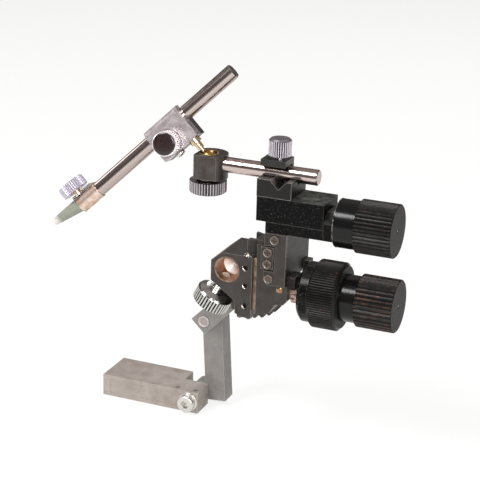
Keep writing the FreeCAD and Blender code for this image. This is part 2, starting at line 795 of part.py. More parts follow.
def gib_and_screws():
    gib = new_body("gib")
    near = "way_center - way_neck - gib_thickness"
    far = "way_center - way_wide - gib_thickness"
    corners = [("body_right - sliding_gap", near + " + running_gap"),
               ("body_right - sliding_gap", near + " + gib_thickness - running_gap"),
               ("body_right - way_depth + sliding_gap", far + " + gib_thickness"),
               ("body_right - way_depth + sliding_gap", far + " + running_gap * 2")]
    pad(gib, "top", corners, "-body_drop + gib_trim", "body_drop + body_top - gib_trim * 2")
    place_on_body(gib)
    # The gib's face slants, so each screw stops where its inner rim meets that face.
    slanted = "(gib_screw_inset + grub_radius) * (way_wide - way_neck) / way_depth"
    tip = "-way_center + way_neck + gib_thickness + sliding_gap + " + slanted
    for name, height in (("gib_screw_high", "gib_screw_high"), ("gib_screw_middle", "-gib_screw_middle"),
                         ("gib_screw_low", "-gib_screw_low")):
        screw = new_body(name)
        turn(screw, [("0", tip), ("grub_radius", tip),
                     ("grub_radius", "grub_stand"), ("grub_socket_radius", "grub_stand"),
                     ("grub_socket_radius", "grub_stand - grub_socket_depth"),
                     ("0", "grub_stand - grub_socket_depth")])
        place_on_body(screw, "body_right - gib_screw_inset", "0", height, TOWARDS_VIEWER)


def coarse_rack():
    """The rack on the floor of the body's way, its teeth towards the viewer."""
    rack = new_body("coarse_rack")
    line = "drive_y + pinion_radius"
    back = line + " + tooth_fall + rack_back"
    half = "rack_teeth * tooth_pitch / 2"
    low = "-drive_z - " + half
    pad(rack, "side", rectangle(line + " + tooth_fall", back, low, "-drive_z + " + half), "0", "rack_width")
    sketch = new_sketch(rack, "side")
    middle = "-drive_z - (rack_teeth - 1) * tooth_pitch / 2"
    draw(sketch, [(line + " + tooth_fall", middle + " - tooth_root"),
                  (line + " + tooth_fall", middle + " + tooth_root"),
                  (line + " - tooth_rise", middle + " + tooth_tip"),
                  (line + " - tooth_rise", middle + " - tooth_tip")])
    one = extrude(rack, "Pad", sketch, "rack_width")
    doc.recompute()
    pattern = rack.newObject("PartDesign::LinearPattern", "coarse_rack_row")
    pattern.Originals = [one]
    z_axis = [item for item in rack.Origin.OriginFeatures if item.Role == "Z_Axis"][0]
    pattern.Direction = (z_axis, [""])
    pattern.Length = value("(rack_teeth - 1) * tooth_pitch")
    pattern.setExpression("Length", bound("(rack_teeth - 1) * tooth_pitch"))
    pattern.Occurrences = int(value("rack_teeth"))
    pattern.setExpression("Occurrences", bound("rack_teeth"))
    rack.Tip = pattern
    place_on_body(rack, "body_right - way_depth")


def tilt_bolt():
    """The pivot through elbow bar and disc into the body, with its round nut behind."""
    bolt = new_body("tilt_bolt")
    front = "body_depth - tilt_bolt_grip"
    back = "body_depth + parting_gap + disc_thickness + elbow_depth"
    turn(bolt, [("0", front + " + parting_gap"), ("tilt_bolt_radius", front + " + parting_gap"),
                ("tilt_bolt_radius", back + " + parting_gap"), ("tilt_nut_radius", back + " + parting_gap"),
                ("tilt_nut_radius", back + " + tilt_nut_height"), ("0", back + " + tilt_nut_height")])
    place_on_body(bolt, "tilt_from_bore_x", "0", "-tilt_from_bore_z", ALONG_Y)


def toe_screws():
    """Round heads under the body and one on its top edge."""
    places_and_turns = [
        ("toe_screw_left", "body_right - toe_screw_radius * 4.2", "toe_screw_y", "-body_drop", 180),
        ("toe_screw_right", "body_right - toe_screw_radius * 1.3", "toe_screw_y", "-body_drop", 180),
        ("top_screw", "top_screw_x", "top_screw_y", "body_top", 0),
    ]
    for name, x, y, z, turned in places_and_turns:
        screw = new_body(name)
        turn(screw, [("0", "-toe_screw_length"), ("toe_screw_shank", "-toe_screw_length"),
                     ("toe_screw_shank", "0"), ("toe_screw_radius", "0"),
                     ("toe_screw_radius", "toe_screw_height / 2"),
                     ("toe_screw_radius / 2", "toe_screw_height"), ("0", "toe_screw_height")])
        place_on_body(screw, x, y, z, Rotation(Vector(1, 0, 0), turned))


def carriage_block():
    block = new_body("carriage_block")
    corners = [("carriage_left", "-carriage_drop - toe_screw_height"),
               ("carriage_left + carriage_toe / 2", "-carriage_drop"),
               ("carriage_left + carriage_toe", "-carriage_drop + toe_screw_height / 3"),
               ("carriage_right - carriage_heel_run", "-carriage_heel_drop"),
               ("carriage_right - carriage_nose_run", "-carriage_heel_drop + toe_screw_height / 2"),
               ("carriage_right", "-carriage_nose_drop"), ("carriage_right", "-carriage_step"),
               ("column_left - parting_gap", "-carriage_step"),
               ("column_left - parting_gap", "carriage_top"), ("carriage_left", "carriage_top")]
    pad(block, "front", corners, "carriage_front", "carriage_depth")
    tongue = [("carriage_left + cut_over", "way_center - way_neck + sliding_gap"),
              ("carriage_left + cut_over", "way_center + way_neck - sliding_gap"),
              ("body_right", "way_center + way_neck - sliding_gap"),
              ("tongue_left", "way_center + way_neck - sliding_gap + (body_right - tongue_left) / 2"),
              ("tongue_left", "way_center - way_neck + sliding_gap - (body_right - tongue_left) / 2"),
              ("body_right", "way_center - way_neck + sliding_gap")]
    pad(block, "top", tongue, "-carriage_drop", "carriage_drop + carriage_top")
    channel = [("tongue_left - cut_over", "drive_y - channel_front"),
               ("channel_depth", "drive_y - channel_front"),
               ("channel_depth", "drive_y + channel_back"),
               ("tongue_left - cut_over", "drive_y + channel_back")]
    pocket(block, "top", channel, "-carriage_drop - cut_over", "carriage_drop + carriage_top + cut_over * 2")
    slot = [("column_left + cut_over", "drive_y - column_key_neck"),
            ("column_left + cut_over", "drive_y + column_key_neck"),
            ("column_left - parting_gap", "drive_y + column_key_neck"),
            ("column_left - column_key_depth - sliding_gap", "drive_y + column_key_wide"),
            ("column_left - column_key_depth - sliding_gap", "drive_y - column_key_wide"),
            ("column_left - parting_gap", "drive_y - column_key_neck")]
    pocket(block, "top", slot, "-carriage_step", "carriage_step + carriage_top + cut_over")
    drill(block, "side", "drive_y", "-drive_z", "shaft_radius + running_gap", "tongue_left - cut_over",
          "carriage_right - tongue_left")
    drill(block, "side", "drive_y", "-drive_z", "gear_bore", "carriage_right - gear_bore_depth",
          "gear_bore_depth + cut_over")
    drill(block, "top", "bevel_x", "drive_y", "gear_bore", "-drive_z", "drive_z + cut_over - carriage_step")
    for height in ("stop_screw_high", "stop_screw_low"):
        drill(block, "front", "stop_screw_x", height, "plate_shank_radius",
              "carriage_front - cut_over", "plate_shank_length + cut_over - stop_thickness")
    drill(block, "front", "plug_x", "-plug_z", "plug_radius", "carriage_front - cut_over",
          "plug_length + cut_over")
    place_on_body(block)


def plate_screw(label, x, y, z, head_radius="plate_screw_radius"):
    """A round headed screw with a slot, its head towards the viewer."""
    screw = new_body(label)
    turn(screw, [("0", "-plate_shank_length"), ("plate_shank_radius", "-plate_shank_length"),
                 ("plate_shank_radius", "0"), (head_radius, "0"), (head_radius, "plate_screw_height / 2"),
                 (head_radius + " - plate_screw_height / 2", "plate_screw_height"),
                 ("0", "plate_screw_height")])
    cross = rectangle("-" + head_radius, head_radius, "-slot_width / 2", "slot_width / 2")
    pocket(screw, "top", cross, "plate_screw_height - slot_depth", "slot_depth + cut_over")
    upright = rectangle("-slot_width / 2", "slot_width / 2", "-" + head_radius, head_radius)
    pocket(screw, "top", upright, "plate_screw_height - slot_depth", "slot_depth + cut_over")
    place_on_body(screw, x, y, z, TOWARDS_VIEWER)


def carriage_fittings():
    stop = new_body("stop_plate")
    pad(stop, "front", rectangle("stop_left", "stop_left + stop_width", "stop_low", "stop_low + stop_height"),
        "carriage_front - stop_thickness", "stop_thickness")
    for height in ("stop_screw_high", "stop_screw_low"):
        drill(stop, "front", "stop_screw_x", height, "plate_shank_radius",
              "carriage_front - stop_thickness - cut_over", "stop_thickness + cut_over * 2")
    place_on_body(stop)
    for name, height in (("stop_screw_upper", "stop_screw_high"), ("stop_screw_lower", "stop_screw_low")):
        plate_screw(name, "stop_screw_x", "carriage_front - stop_thickness", height)

    plug = new_body("lock_plug")
    turn(plug, [("0", "-plug_length + parting_gap"), ("plug_radius", "-plug_length + parting_gap"),
                ("plug_radius", "0"), ("plug_radius / 2", "grub_stand"), ("0", "grub_stand")])
    place_on_body(plug, "plug_x", "carriage_front", "-plug_z", TOWARDS_VIEWER)

    thrust = new_body("thrust_plate")
    turn(thrust, [("fine_screw_radius + running_gap", "0"), ("gear_bore", "0"),
                  ("gear_bore", "thrust_thickness"), ("fine_screw_radius + running_gap", "thrust_thickness")])
    place_on_body(thrust, "bevel_x", "drive_y", "-carriage_step - thrust_thickness")

    collar = new_body("drag_collar")
    bore = "shaft_radius + running_gap + sleeve_wall + running_gap"
    spigot = "gear_bore - thrust_thickness * 2"
    turn(collar, [(bore, "-thrust_thickness * 2"), (spigot, "-thrust_thickness * 2"),
                  (spigot, "0"), ("collar_radius", "0"), ("collar_radius", "collar_width"),
                  (bore, "collar_width")])
    cut = drill(collar, "top", "collar_radius", "0", "collar_tooth_radius", "-cut_over / 2",
                "collar_width + cut_over")
    repeat_round(collar, cut, "collar_teeth")
    place_on_body(collar, "carriage_right", "drive_y", "-drive_z", ALONG_X)

    flange = new_body("index_flange")
    turn(flange, [(bore, "0"), ("flange_radius - flange_rim / 2", "0"), ("flange_radius", "flange_rim / 2"),
                  ("flange_radius", "flange_width"), ("flange_radius - flange_web", "flange_width"),
                  ("flange_radius - flange_web", "flange_rim"), (bore, "flange_rim")])
    place_on_body(flange, "carriage_right + collar_width", "drive_y", "-drive_z", ALONG_X)


def coarse_drive():
    """The knob, neck, long shaft and pinion, drawn along the shaft from the pinion's end."""
    shaft = new_body("coarse_shaft")
    knob_end = "ring_start + ring_width + parting_gap + neck_width - pinion_start"
    turn(shaft, [("0", "0"), ("pinion_radius + tooth_rise", "0"),
                 ("pinion_radius + tooth_rise", "pinion_width"),
                 ("shaft_radius", "pinion_width"), ("shaft_radius", knob_end), ("0", knob_end)])
    sketch = new_sketch(shaft, "top", "-cut_over")
    outer = "(pinion_radius + tooth_rise)"
    # Each cut is the space between two teeth of the rack's own form.
    root_gap = "tooth_pitch / 2 - tooth_root * (pinion_radius - tooth_fall) / pinion_radius"
    tip_gap = "tooth_pitch / 2 * %s / pinion_radius - tooth_tip" % outer
    draw(sketch, [("pinion_radius - tooth_fall", "-(%s)" % root_gap),
                  (outer, "-(%s)" % tip_gap), (outer + " + cut_over", "-(%s)" % tip_gap),
                  (outer + " + cut_over", tip_gap), (outer, tip_gap),
                  ("pinion_radius - tooth_fall", root_gap)])
    gap = extrude(shaft, "Pocket", sketch, "pinion_width + cut_over")
    repeat_round(shaft, gap, "pinion_teeth")
    # A space of the pinion faces the middle tooth of the rack.
    mesh = ALONG_X * Rotation(Vector(0, 0, 1), 90)
    place_on_body(shaft, "pinion_start", "drive_y", "-drive_z", mesh)

    knob = fluted_knob("coarse_knob", "neck_radius", "neck_width", "coarse_knob_radius",
                       "coarse_knob_width", "coarse_knob_chamfer", "coarse_flutes", "shaft_radius")
    place_on_body(knob, "ring_start + ring_width + parting_gap", "drive_y", "-drive_z", ALONG_X)


def fluted_knob(label, neck, neck_width, radius, width, chamfer, count, seat):
    """A knob with a smooth neck, a fluted grip and a small hole in its end."""
    knob = new_body(label)
    end = "%s + %s" % (neck_width, width)
    turn(knob, [(seat, "0"), (neck, "0"), (neck, neck_width + " - " + chamfer + " / 2"),
                (radius, neck_width), (radius, end + " - " + chamfer),
                (radius + " - " + chamfer, end), ("knob_hole_radius", end),
                ("knob_hole_radius", end + " - knob_hole_depth"), ("0", end + " - knob_hole_depth"),
                ("0", neck_width), (seat, neck_width)])
    flutes(knob, radius, "knob_flute", count, neck_width, width + " + cut_over")
    return knob


def fine_drive():
    """The knurled ring on its sleeve, whose inner end is a bevel that turns the fine screw."""
    sleeve = new_body("fine_sleeve")
    bore = "shaft_radius + running_gap"
    outer = bore + " + sleeve_wall"
    end = "ring_start + ring_width - bevel_x"
    turn(sleeve, [(bore, "bevel_small + parting_gap"), ("bevel_small", "bevel_small + parting_gap"),
                  ("bevel_large", "bevel_large + parting_gap"),
                  ("bevel_large", "bevel_large + parting_gap * 2"),
                  (outer, "bevel_large + parting_gap * 2"), (outer, end), (bore, end)])
    place_on_body(sleeve, "bevel_x", "drive_y", "-drive_z", ALONG_X)

    ring = new_body("fine_ring")
    turn(ring, [(outer, "0"), ("ring_radius - ring_chamfer / 2", "0"), ("ring_radius", "ring_chamfer / 2"),
                ("ring_radius", "ring_width - ring_chamfer"),
                ("ring_radius - ring_chamfer", "ring_width"), (outer, "ring_width")])
    flutes(ring, "ring_radius", "ring_flute", "ring_flutes", "-cut_over", "ring_width + cut_over * 2")
    holes = new_sketch(ring, "top", "ring_width - ring_hole_depth")
    for angle in ("45 deg", "225 deg"):
        draw_circle(holes, "ring_hole_circle * cos(%s)" % angle, "ring_hole_circle * sin(%s)" % angle,
                    "ring_hole_radius")
    extrude(ring, "Pocket", holes, "ring_hole_depth + cut_over")
    place_on_body(ring, "ring_start", "drive_y", "-drive_z", ALONG_X)

    screw = new_body("fine_screw")
    rim = "bevel_large + parting_gap * 2"
    turn(screw, [("0", "bevel_small + parting_gap"), ("bevel_small", "bevel_small + parting_gap"),
                 ("bevel_large", "bevel_large + parting_gap"), ("bevel_large", "drive_z - carriage_step "
                 "- thrust_thickness - running_gap"),
                 ("fine_screw_radius", "drive_z - carriage_step - thrust_thickness - running_gap"),
                 ("fine_screw_radius", rim + " + fine_screw_length"), ("0", rim + " + fine_screw_length")])
    place_on_body(screw, "bevel_x", "drive_y", "-drive_z")


def column():
    block = new_body("column")
    height = "column_bottom + column_top"
    pad(block, "top", rectangle("column_left", "column_right", "column_front", "column_back"),
        "-column_bottom", height)
    pad(block, "top", rectangle("column_right - cut_over", "column_right + lug_block_width",
                                "lug_block_y", "lug_block_y + lug_block_depth"),
        "-lug_block_drop", "lug_block_height")
    key = [("column_left + cut_over", "drive_y - column_key_neck + sliding_gap"),
           ("column_left + cut_over", "drive_y + column_key_neck - sliding_gap"),
           ("column_left", "drive_y + column_key_neck - sliding_gap"),
           ("column_left - column_key_depth", "drive_y + column_key_wide - sliding_gap * 2"),
           ("column_left - column_key_depth", "drive_y - column_key_wide + sliding_gap * 2"),
           ("column_left", "drive_y - column_key_neck + sliding_gap")]
    pad(block, "top", key, "-column_bottom", "column_bottom + column_key_top")
    drill(block, "top", "bevel_x", "drive_y", "fine_screw_radius + clamp_thread_gap",
          "-column_bottom - cut_over", "fine_screw_length + column_bottom + cut_over")
    drill(block, "front", "limit_screw_high_x", "limit_screw_high_z", "plate_shank_radius",
          "column_front - cut_over", "plate_shank_length + cut_over - limit_thickness")
    place_on_body(block)


def column_fittings():
    plate = new_body("limit_plate")
    corners = [("limit_left", "limit_slot_high"), ("limit_strip_left", "limit_slot_high"),
               ("limit_strip_left", "limit_slot_low"), ("limit_left", "limit_slot_low"),
               ("limit_left", "-limit_low / 3"), ("limit_left + limit_low / 2", "-limit_low + sliding_gap"),
               ("limit_strip_left", "-limit_low + sliding_gap"), ("limit_right", "-limit_low"),
               ("limit_right", "column_top"), ("limit_left", "column_top")]
    pad(plate, "front", corners, "column_front - limit_thickness", "limit_thickness - sliding_gap")
    drill(plate, "front", "limit_screw_high_x", "limit_screw_high_z", "plate_shank_radius",
          "column_front - limit_thickness - cut_over", "limit_thickness + cut_over * 2")
    drill(plate, "front", "limit_screw_low_x", "-limit_screw_low_z", "plate_shank_radius",
          "column_front - limit_thickness - cut_over", "limit_thickness + cut_over * 2")
    place_on_body(plate)
    plate_screw("limit_screw_upper", "limit_screw_high_x", "column_front - limit_thickness",
                "limit_screw_high_z")
    rivet = new_body("limit_screw_lower")
    turn(rivet, [("0", "-limit_thickness + sliding_gap * 2"),
                 ("plate_shank_radius", "-limit_thickness + sliding_gap * 2"),
                 ("plate_shank_radius", "0"), ("plate_screw_radius", "0"),
                 ("plate_screw_radius", "plate_screw_height / 2"),
                 ("plate_screw_radius - plate_screw_height / 2", "plate_screw_height"),
                 ("0", "plate_screw_height")])
    place_on_body(rivet, "limit_screw_low_x", "column_front - limit_thickness", "-limit_screw_low_z",
                  TOWARDS_VIEWER)


def cross_slide_base():
    guide = new_body("slide_base")
    pad(guide, "side", rectangle("0", "slide_depth", "column_top", "guide_top"), "guide_left",
        "guide_right - guide_left")
    rail = [("slide_center - rail_half", "guide_top - cut_over"), ("slide_center + rail_half",
            "guide_top - cut_over"), ("slide_center + rail_half", "guide_top"),
            ("slide_center + rail_wide", "guide_top + rail_height"),
            ("slide_center - rail_wide", "guide_top + rail_height"),
            ("slide_center - rail_half", "guide_top")]
    pad(guide, "side", rail, "guide_left", "guide_right - guide_left")
    pocket(guide, "side", rectangle("slide_center - rail_groove", "slide_center + rail_groove",
                                    "guide_top - rail_groove_floor", "guide_top + rail_height + cut_over"),
           "guide_left - cut_over", "guide_right - guide_left + cut_over * 2")
    place_on_body(guide)

    plate = new_body("end_plate")
    low = "column_top"
    high = "column_top + end_plate_height"
    pad(plate, "side", [("0", low), ("slide_depth", low), ("slide_depth", high + " - end_plate_round"),
                        ("slide_depth - end_plate_round", high), ("end_plate_round", high),
                        ("0", high + " - end_plate_round")], "guide_right", "end_plate_width")
    drill(plate, "side", "slide_center", "lead_z", "lead_radius + running_gap", "guide_right - cut_over",
          "end_plate_width + cut_over * 2")
    place_on_body(plate)


def cross_drive():
    screw = new_body("lead_screw")
    seat = "lead_length + end_plate_width + parting_gap + cross_collar_width"
    turn(screw, [("0", "0"), ("lead_radius", "0"), ("lead_radius", seat), ("0", seat)])
    place_on_body(screw, "guide_right - lead_length", "slide_center", "lead_z", ALONG_X)
    knob = fluted_knob("cross_knob", "cross_collar_radius", "cross_collar_width", "cross_knob_radius",
                       "cross_knob_width", "cross_knob_chamfer", "cross_flutes", "lead_radius")
    place_on_body(knob, "knob_x", "slide_center", "lead_z", ALONG_X)


def upper_slide():
    slide = new_body("upper_slide")
    low = "guide_top + sliding_gap"
    pad(slide, "side", rectangle("0", "slide_depth", low, "upper_top"), "upper_left",
        "upper_right - upper_left")
    way = [("slide_center - rail_half - rail_gap", low + " - cut_over"),
           ("slide_center + rail_half + rail_gap", low + " - cut_over"),
           ("slide_center + rail_half + rail_gap", low),
           ("slide_center + rail_wide + rail_gap", "guide_top + rail_height + rail_gap"),
           ("slide_center - rail_wide - rail_gap", "guide_top + rail_height + rail_gap"),
           ("slide_center - rail_half - rail_gap", low)]
    pocket(slide, "side", way, "upper_left - cut_over", "upper_right - upper_left + cut_over * 2")
    # The nut on the lead screw hangs from the slide into the groove of the rail.
    pad(slide, "side", rectangle("slide_center - nut_half", "slide_center + nut_half",
                                 "guide_top", "guide_top + rail_height + rail_gap + cut_over"),
        "nut_left", "nut_length")
    drill(slide, "side", "slide_center", "lead_z", "lead_radius + clamp_thread_gap",
          "nut_left - cut_over", "nut_length + cut_over * 2")
    place_on_body(slide)


def vee_block():
    block = new_body("vee_block")
    right = "vee_left + vee_width"
    pad(block, "side", rectangle("0", "slide_depth", "upper_top", "vee_top"), "vee_left", "vee_width")
    # The rod lies in a right angled vee, so the vee's point is this far under the rod's axis.
    deep = "(rod_radius + rod_gap) * sqrt(2)"
    half = "(%s - (rod_z - vee_top) + cut_over)" % deep
    pocket(block, "side", [("slide_center", "rod_z - " + deep),
                           ("slide_center - " + half, "vee_top + cut_over"),
                           ("slide_center + " + half, "vee_top + cut_over")],
           "vee_left - cut_over", "vee_width + cut_over * 2")
    cross = "(vee_cross_half + cut_over)"
    pocket(block, "front", [("vee_cross_x", "vee_top - vee_cross_half"),
                            ("vee_cross_x - " + cross, "vee_top + cut_over"),
                            ("vee_cross_x + " + cross, "vee_top + cut_over")],
           "-cut_over", "slide_depth + cut_over * 2")
    place_on_body(block)

    bridge = new_body("clamp_bridge")
    leg_front = "bridge_back - bridge_leg"
    corners = [(leg_front, "vee_top"), ("bridge_back", "vee_top"), ("bridge_back", "upper_top + bridge_top"),
               ("bridge_front", "upper_top + bridge_top"), ("bridge_front", "rod_z + rod_radius - rod_gap"),
               ("slide_center - rod_radius / 2", "rod_z + rod_radius + rod_gap * 4"),
               (leg_front, "rod_z + rod_radius + rod_gap * 4")]
    pad(bridge, "side", corners, "bridge_left", "bridge_length")
    drill(bridge, "top", "thumb_x", "slide_center", "thumb_shank + clamp_thread_gap", "rod_z", "vee_top")
    place_on_body(bridge)


def thumbscrew():
    """The chrome screw that presses on the cross rod, drawn upwards from its tip."""
    screw = new_body("rod_thumbscrew")
    head = "bridge_top - rod_rise - rod_radius - rod_gap + thumb_head_gap"
    top = head + " + thumb_head_height"
    turn(screw, [("0", "0"), ("thumb_shank", "0"), ("thumb_shank", head), ("thumb_head_radius", head),
                 ("thumb_head_radius", top + " - thumb_crown"), ("thumb_head_radius - thumb_crown", top),
                 ("0", top)])
    flutes(screw, "thumb_head_radius", "thumb_flute", "thumb_flutes", head + " - cut_over",
           "thumb_head_height + cut_over * 2")
    place_on_body(screw, "thumb_x", "slide_center", "rod_z + rod_radius + rod_gap")


def cross_rod():
    rod = new_body("cross_rod")
    turn(rod, [("0", "0"), ("rod_radius", "0"),
               ("rod_radius", "cross_rod_left + cross_rod_right - rod_gap * 8"),
               ("rod_radius - rod_gap * 8", "cross_rod_left + cross_rod_right"),
               ("0", "cross_rod_left + cross_rod_right")])
    place_on_body(rod, "-cross_rod_left", "slide_center", "rod_z", ALONG_X)


def socket_head():
    """The block on the rod's end that holds the ball, drawn about the ball's upright axis."""
    block = new_body("socket_block")
    tall = "socket_low + socket_high"
    post(block, "top", "socket_shift", "0", "socket_radius", "-socket_low", tall)
    wide = "socket_radius * 2"
    for flat in (rectangle("-" + wide, "-socket_flat_left", "-" + wide, wide),
                 rectangle("-" + wide, wide, "-" + wide, "-socket_flat")):
        pocket(block, "top", flat, "-socket_low - cut_over", tall + " + cut_over * 2")
    cavity = "socket_high - ball_drop - ball_radius"
    lip = "sqrt(ball_radius * ball_radius - ball_lip * ball_lip) + ball_gap"
    turn(block, [("0", "-socket_low - cut_over"),
                 ("socket_post_radius + sliding_gap", "-socket_low - cut_over"),
                 ("socket_post_radius + sliding_gap", cavity), ("ball_radius + ball_gap", cavity),
                 ("ball_radius + ball_gap", "socket_high - ball_drop"),
                 (lip, "socket_high - ball_drop + ball_lip"),
                 ("socket_mouth", "socket_high"), ("socket_mouth", "socket_high + cut_over"),
                 ("0", "socket_high + cut_over")], "Groove")
    drill(block, "side", "0", "0", "rod_radius + running_gap", "socket_x - cross_rod_left - sliding_gap",
          "socket_radius * 2")
    place_on_body(block, "-socket_x", "slide_center", "rod_z")

    nut = new_body("socket_nut")
    top = "-socket_low - socket_nut_space"
    low = top + " - socket_nut_height"
    post_top = "socket_high - ball_drop - ball_radius - ball_gap"
    turn(nut, [("0", low), ("socket_nut_radius - socket_nut_chamfer", low),
               ("socket_nut_radius", low + " + socket_nut_chamfer"), ("socket_nut_radius", top),
               ("socket_post_radius", top), ("socket_post_radius", post_top), ("0", post_top)])
    flutes(nut, "socket_nut_radius", "socket_nut_flute", "socket_flutes", low + " - cut_over",
           "socket_nut_height + cut_over * 1.2")
    place_on_body(nut, "-socket_x", "slide_center", "rod_z")


def ball_head():
    ball = doc.addObject("Part::Sphere", "ball")
    ball.Label = "ball"
    ball.setExpression("Radius", bound("ball_radius"))
    PARTS.append(ball)
    place_on_body(ball, "-socket_x", "slide_center", "ball_z")

    stud = new_body("ball_stud")
    start = "ball_radius + running_gap"
    collar = "ball_neck_length - ball_collar_height"
    thick = collar + " - ball_stud_length"
    turn(stud, [("0", start), ("ball_neck_radius", start), ("ball_neck_radius", thick),
                ("ball_stud_radius", thick), ("ball_stud_radius", collar), ("ball_collar_radius", collar),
                ("ball_collar_radius", "ball_neck_length - running_gap"),
                ("ball_pin_radius", "ball_neck_length - running_gap"),
                ("ball_pin_radius", "ball_neck_length + ball_pin_length"),
                ("0", "ball_neck_length + ball_pin_length")])
    place_on_rod(stud, "stud_from_center", "-stud_forward", "-ball_reach")


def jaw(label, near, far, side, high, curve):
    """Half of the clamp on the tool rod, with a half round seat and the screw's hole."""
    half = new_body(label)
    corners = [(near, "-jaw_low"), (far, "-jaw_low"), (far, "%s - %s" % (high, curve))]
    for lean in ("22.5 deg", "45 deg", "67.5 deg"):
        corners.append(("%s - (%s) * %s * (1 - cos(%s))" % (far, side, curve, lean),
                        "%s - %s * (1 - sin(%s))" % (high, curve, lean)))
    corners.extend([("%s - (%s) * %s" % (far, side, curve), high), (near, high)])
    pad(half, "side", corners, "-jaw_length / 2", "jaw_length")
    drill(half, "side", "0", "0", "tool_rod_radius + rod_gap", "-jaw_length", "jaw_length * 2")
    drill(half, "front", "-jaw_screw_left", "-jaw_screw_down", "jaw_screw_radius + clamp_thread_gap",
          "-jaw_thickness * 2", "jaw_thickness * 4")
    return half


def rod_clamp():
    rear = jaw("rear_jaw", "jaw_gap / 2", "jaw_gap / 2 + jaw_thickness", "1", "rear_jaw_high",
               "rear_jaw_round")
    place_on_rod(rear)
    front = jaw("front_jaw", "-jaw_gap / 2", "-jaw_gap / 2 - jaw_thickness", "-1", "jaw_high", "jaw_round")
    drill(front, "top", "stud_from_center", "-stud_forward", "ball_pin_radius + running_gap",
          "-jaw_low - cut_over", "ball_pin_length + cut_over * 1.5")
    place_on_rod(front)

    screw = new_body("jaw_thumbscrew")
    back = "-jaw_gap / 2 - jaw_thickness"
    face = "jaw_gap / 2 + jaw_thickness"
    grip = face + " + running_gap + jaw_knob_collar_height"
    cap = grip + " + jaw_knob_height"
    turn(screw, [("0", back + " - jaw_nut_height - sliding_gap"),
                 ("jaw_nut_radius", back + " - jaw_nut_height - sliding_gap"),
                 ("jaw_nut_radius", back + " - sliding_gap"), ("jaw_screw_radius", back + " - sliding_gap"),
                 ("jaw_screw_radius", face + " + sliding_gap"), ("jaw_knob_collar", face + " + sliding_gap"),
                 ("jaw_knob_collar", grip), ("jaw_knob_radius", grip),
                 ("jaw_knob_radius", cap + " - jaw_knob_cap / 2"),
                 ("jaw_knob_radius - jaw_knob_cap / 2", cap), ("0", cap)])
    flutes(screw, "jaw_knob_radius", "tip_knob_flute", "jaw_flutes", grip, "jaw_knob_height - jaw_knob_cap")
    place_on_rod(screw, "-jaw_screw_left", "0", "-jaw_screw_down", TOWARDS_VIEWER)


def tool_rod():
    rod = new_body("tool_rod")
    length = "tool_rod_low + tool_rod_high"
    turn(rod, [("0", "0"), ("tool_rod_radius", "0"), ("tool_rod_radius", length + " - rod_gap * 8"),
               ("tool_rod_radius - rod_gap * 8", length), ("0", length)])
    place_on_rod(rod, "-tool_rod_low", rotation=ALONG_X)


def tip_holder():
    """The brass sleeve on the lower end of the tool rod, the tapered tip and its clamp."""
    sleeve = new_body("tip_sleeve")
    outer = "tool_rod_radius + running_gap + tip_sleeve_wall"
    seat = "tip_seat_radius + running_gap"
    turn(sleeve, [(seat, "-tip_sleeve_end"), (outer, "-tip_sleeve_end"),
                  (outer, "tip_sleeve_length - tip_sleeve_end"),
                  ("tool_rod_radius + running_gap", "tip_sleeve_length - tip_sleeve_end"),
                  ("tool_rod_radius + running_gap", "-sliding_gap"), (seat, "-sliding_gap")])
    place_on_rod(sleeve, "-tool_rod_low", rotation=ALONG_X)

    tip = new_body("tapered_tip")
    post(tip, "side", "0", "0", "tip_seat_radius", "-tip_sleeve_end - sliding_gap", "tip_sleeve_end")
    root = new_sketch(tip, "side", "-tip_sleeve_end")
    draw_circle(root, "0", "tip_rise", "tip_base_radius")
    end = new_sketch(tip, "side", "-tip_sleeve_end - tip_length")
    draw_circle(end, "0", "tip_rise + tip_end_radius", "tip_end_radius")
    loft = tip.newObject("PartDesign::AdditiveLoft", "tapered_tip_loft")
    loft.Profile = root
    loft.Sections = [end]
    drill(tip, "side", "0", "tip_rise + tip_end_radius", "tip_bore",
          "-tip_sleeve_end - tip_length - cut_over", "tip_length / 2")
    place_on_rod(tip, "-tool_rod_low - sliding_gap * 3")

    lug = new_body("tip_lug")
    low = "sqrt((%s) * (%s) - lug_back * lug_back) + running_gap" % (outer, outer)
    pad(lug, "front", [("-lug_forward", low), ("lug_length - lug_forward", low),
                       ("lug_length * 0.75 - lug_forward", "lug_rise"), ("-lug_forward", "lug_rise")],
        "lug_back", "lug_width")
    place_on_rod(lug, "-tool_rod_low")

    stud = new_body("tip_stud")
    turn(stud, [("0", outer), ("tip_stud_radius", outer), ("tip_stud_radius", "tip_knob_stand - sliding_gap"),
                ("0", "tip_knob_stand - sliding_gap")])
    place_on_rod(stud, "-tool_rod_low - tip_knob_forward")

    knob = new_body("tip_knob")
    turn(knob, [("0", "tip_knob_stand"), ("tip_knob_radius", "tip_knob_stand"),
                ("tip_knob_radius", "tip_knob_stand + tip_knob_height - tip_knob_flute"),
                ("tip_knob_radius - tip_knob_flute", "tip_knob_stand + tip_knob_height"),
                ("0", "tip_knob_stand + tip_knob_height")])
    flutes(knob, "tip_knob_radius", "tip_knob_flute", "tip_flutes", "tip_knob_stand - cut_over",
           "tip_knob_height + cut_over * 2")
    place_on_rod(knob, "-tool_rod_low - tip_knob_forward")


def check_and_write():
    """Stop on any failed object or broken solid, then write one file for each piece."""
    failed = [item.Name for item in doc.Objects if "Invalid" in item.State or "Error" in item.State]
    for piece in PARTS:
        if piece.Shape.isNull() or not piece.Shape.isValid() or len(piece.Shape.Solids) != 1:
            failed.append(piece.Label)
    if failed:
        print("failed:", ", ".join(failed))
        sys.exit(1)
    os.makedirs("parts", exist_ok=True)
    for piece in PARTS:
        piece.Shape.exportStep("parts/%s.step" % piece.Label)
    print("pieces:", len(PARTS))


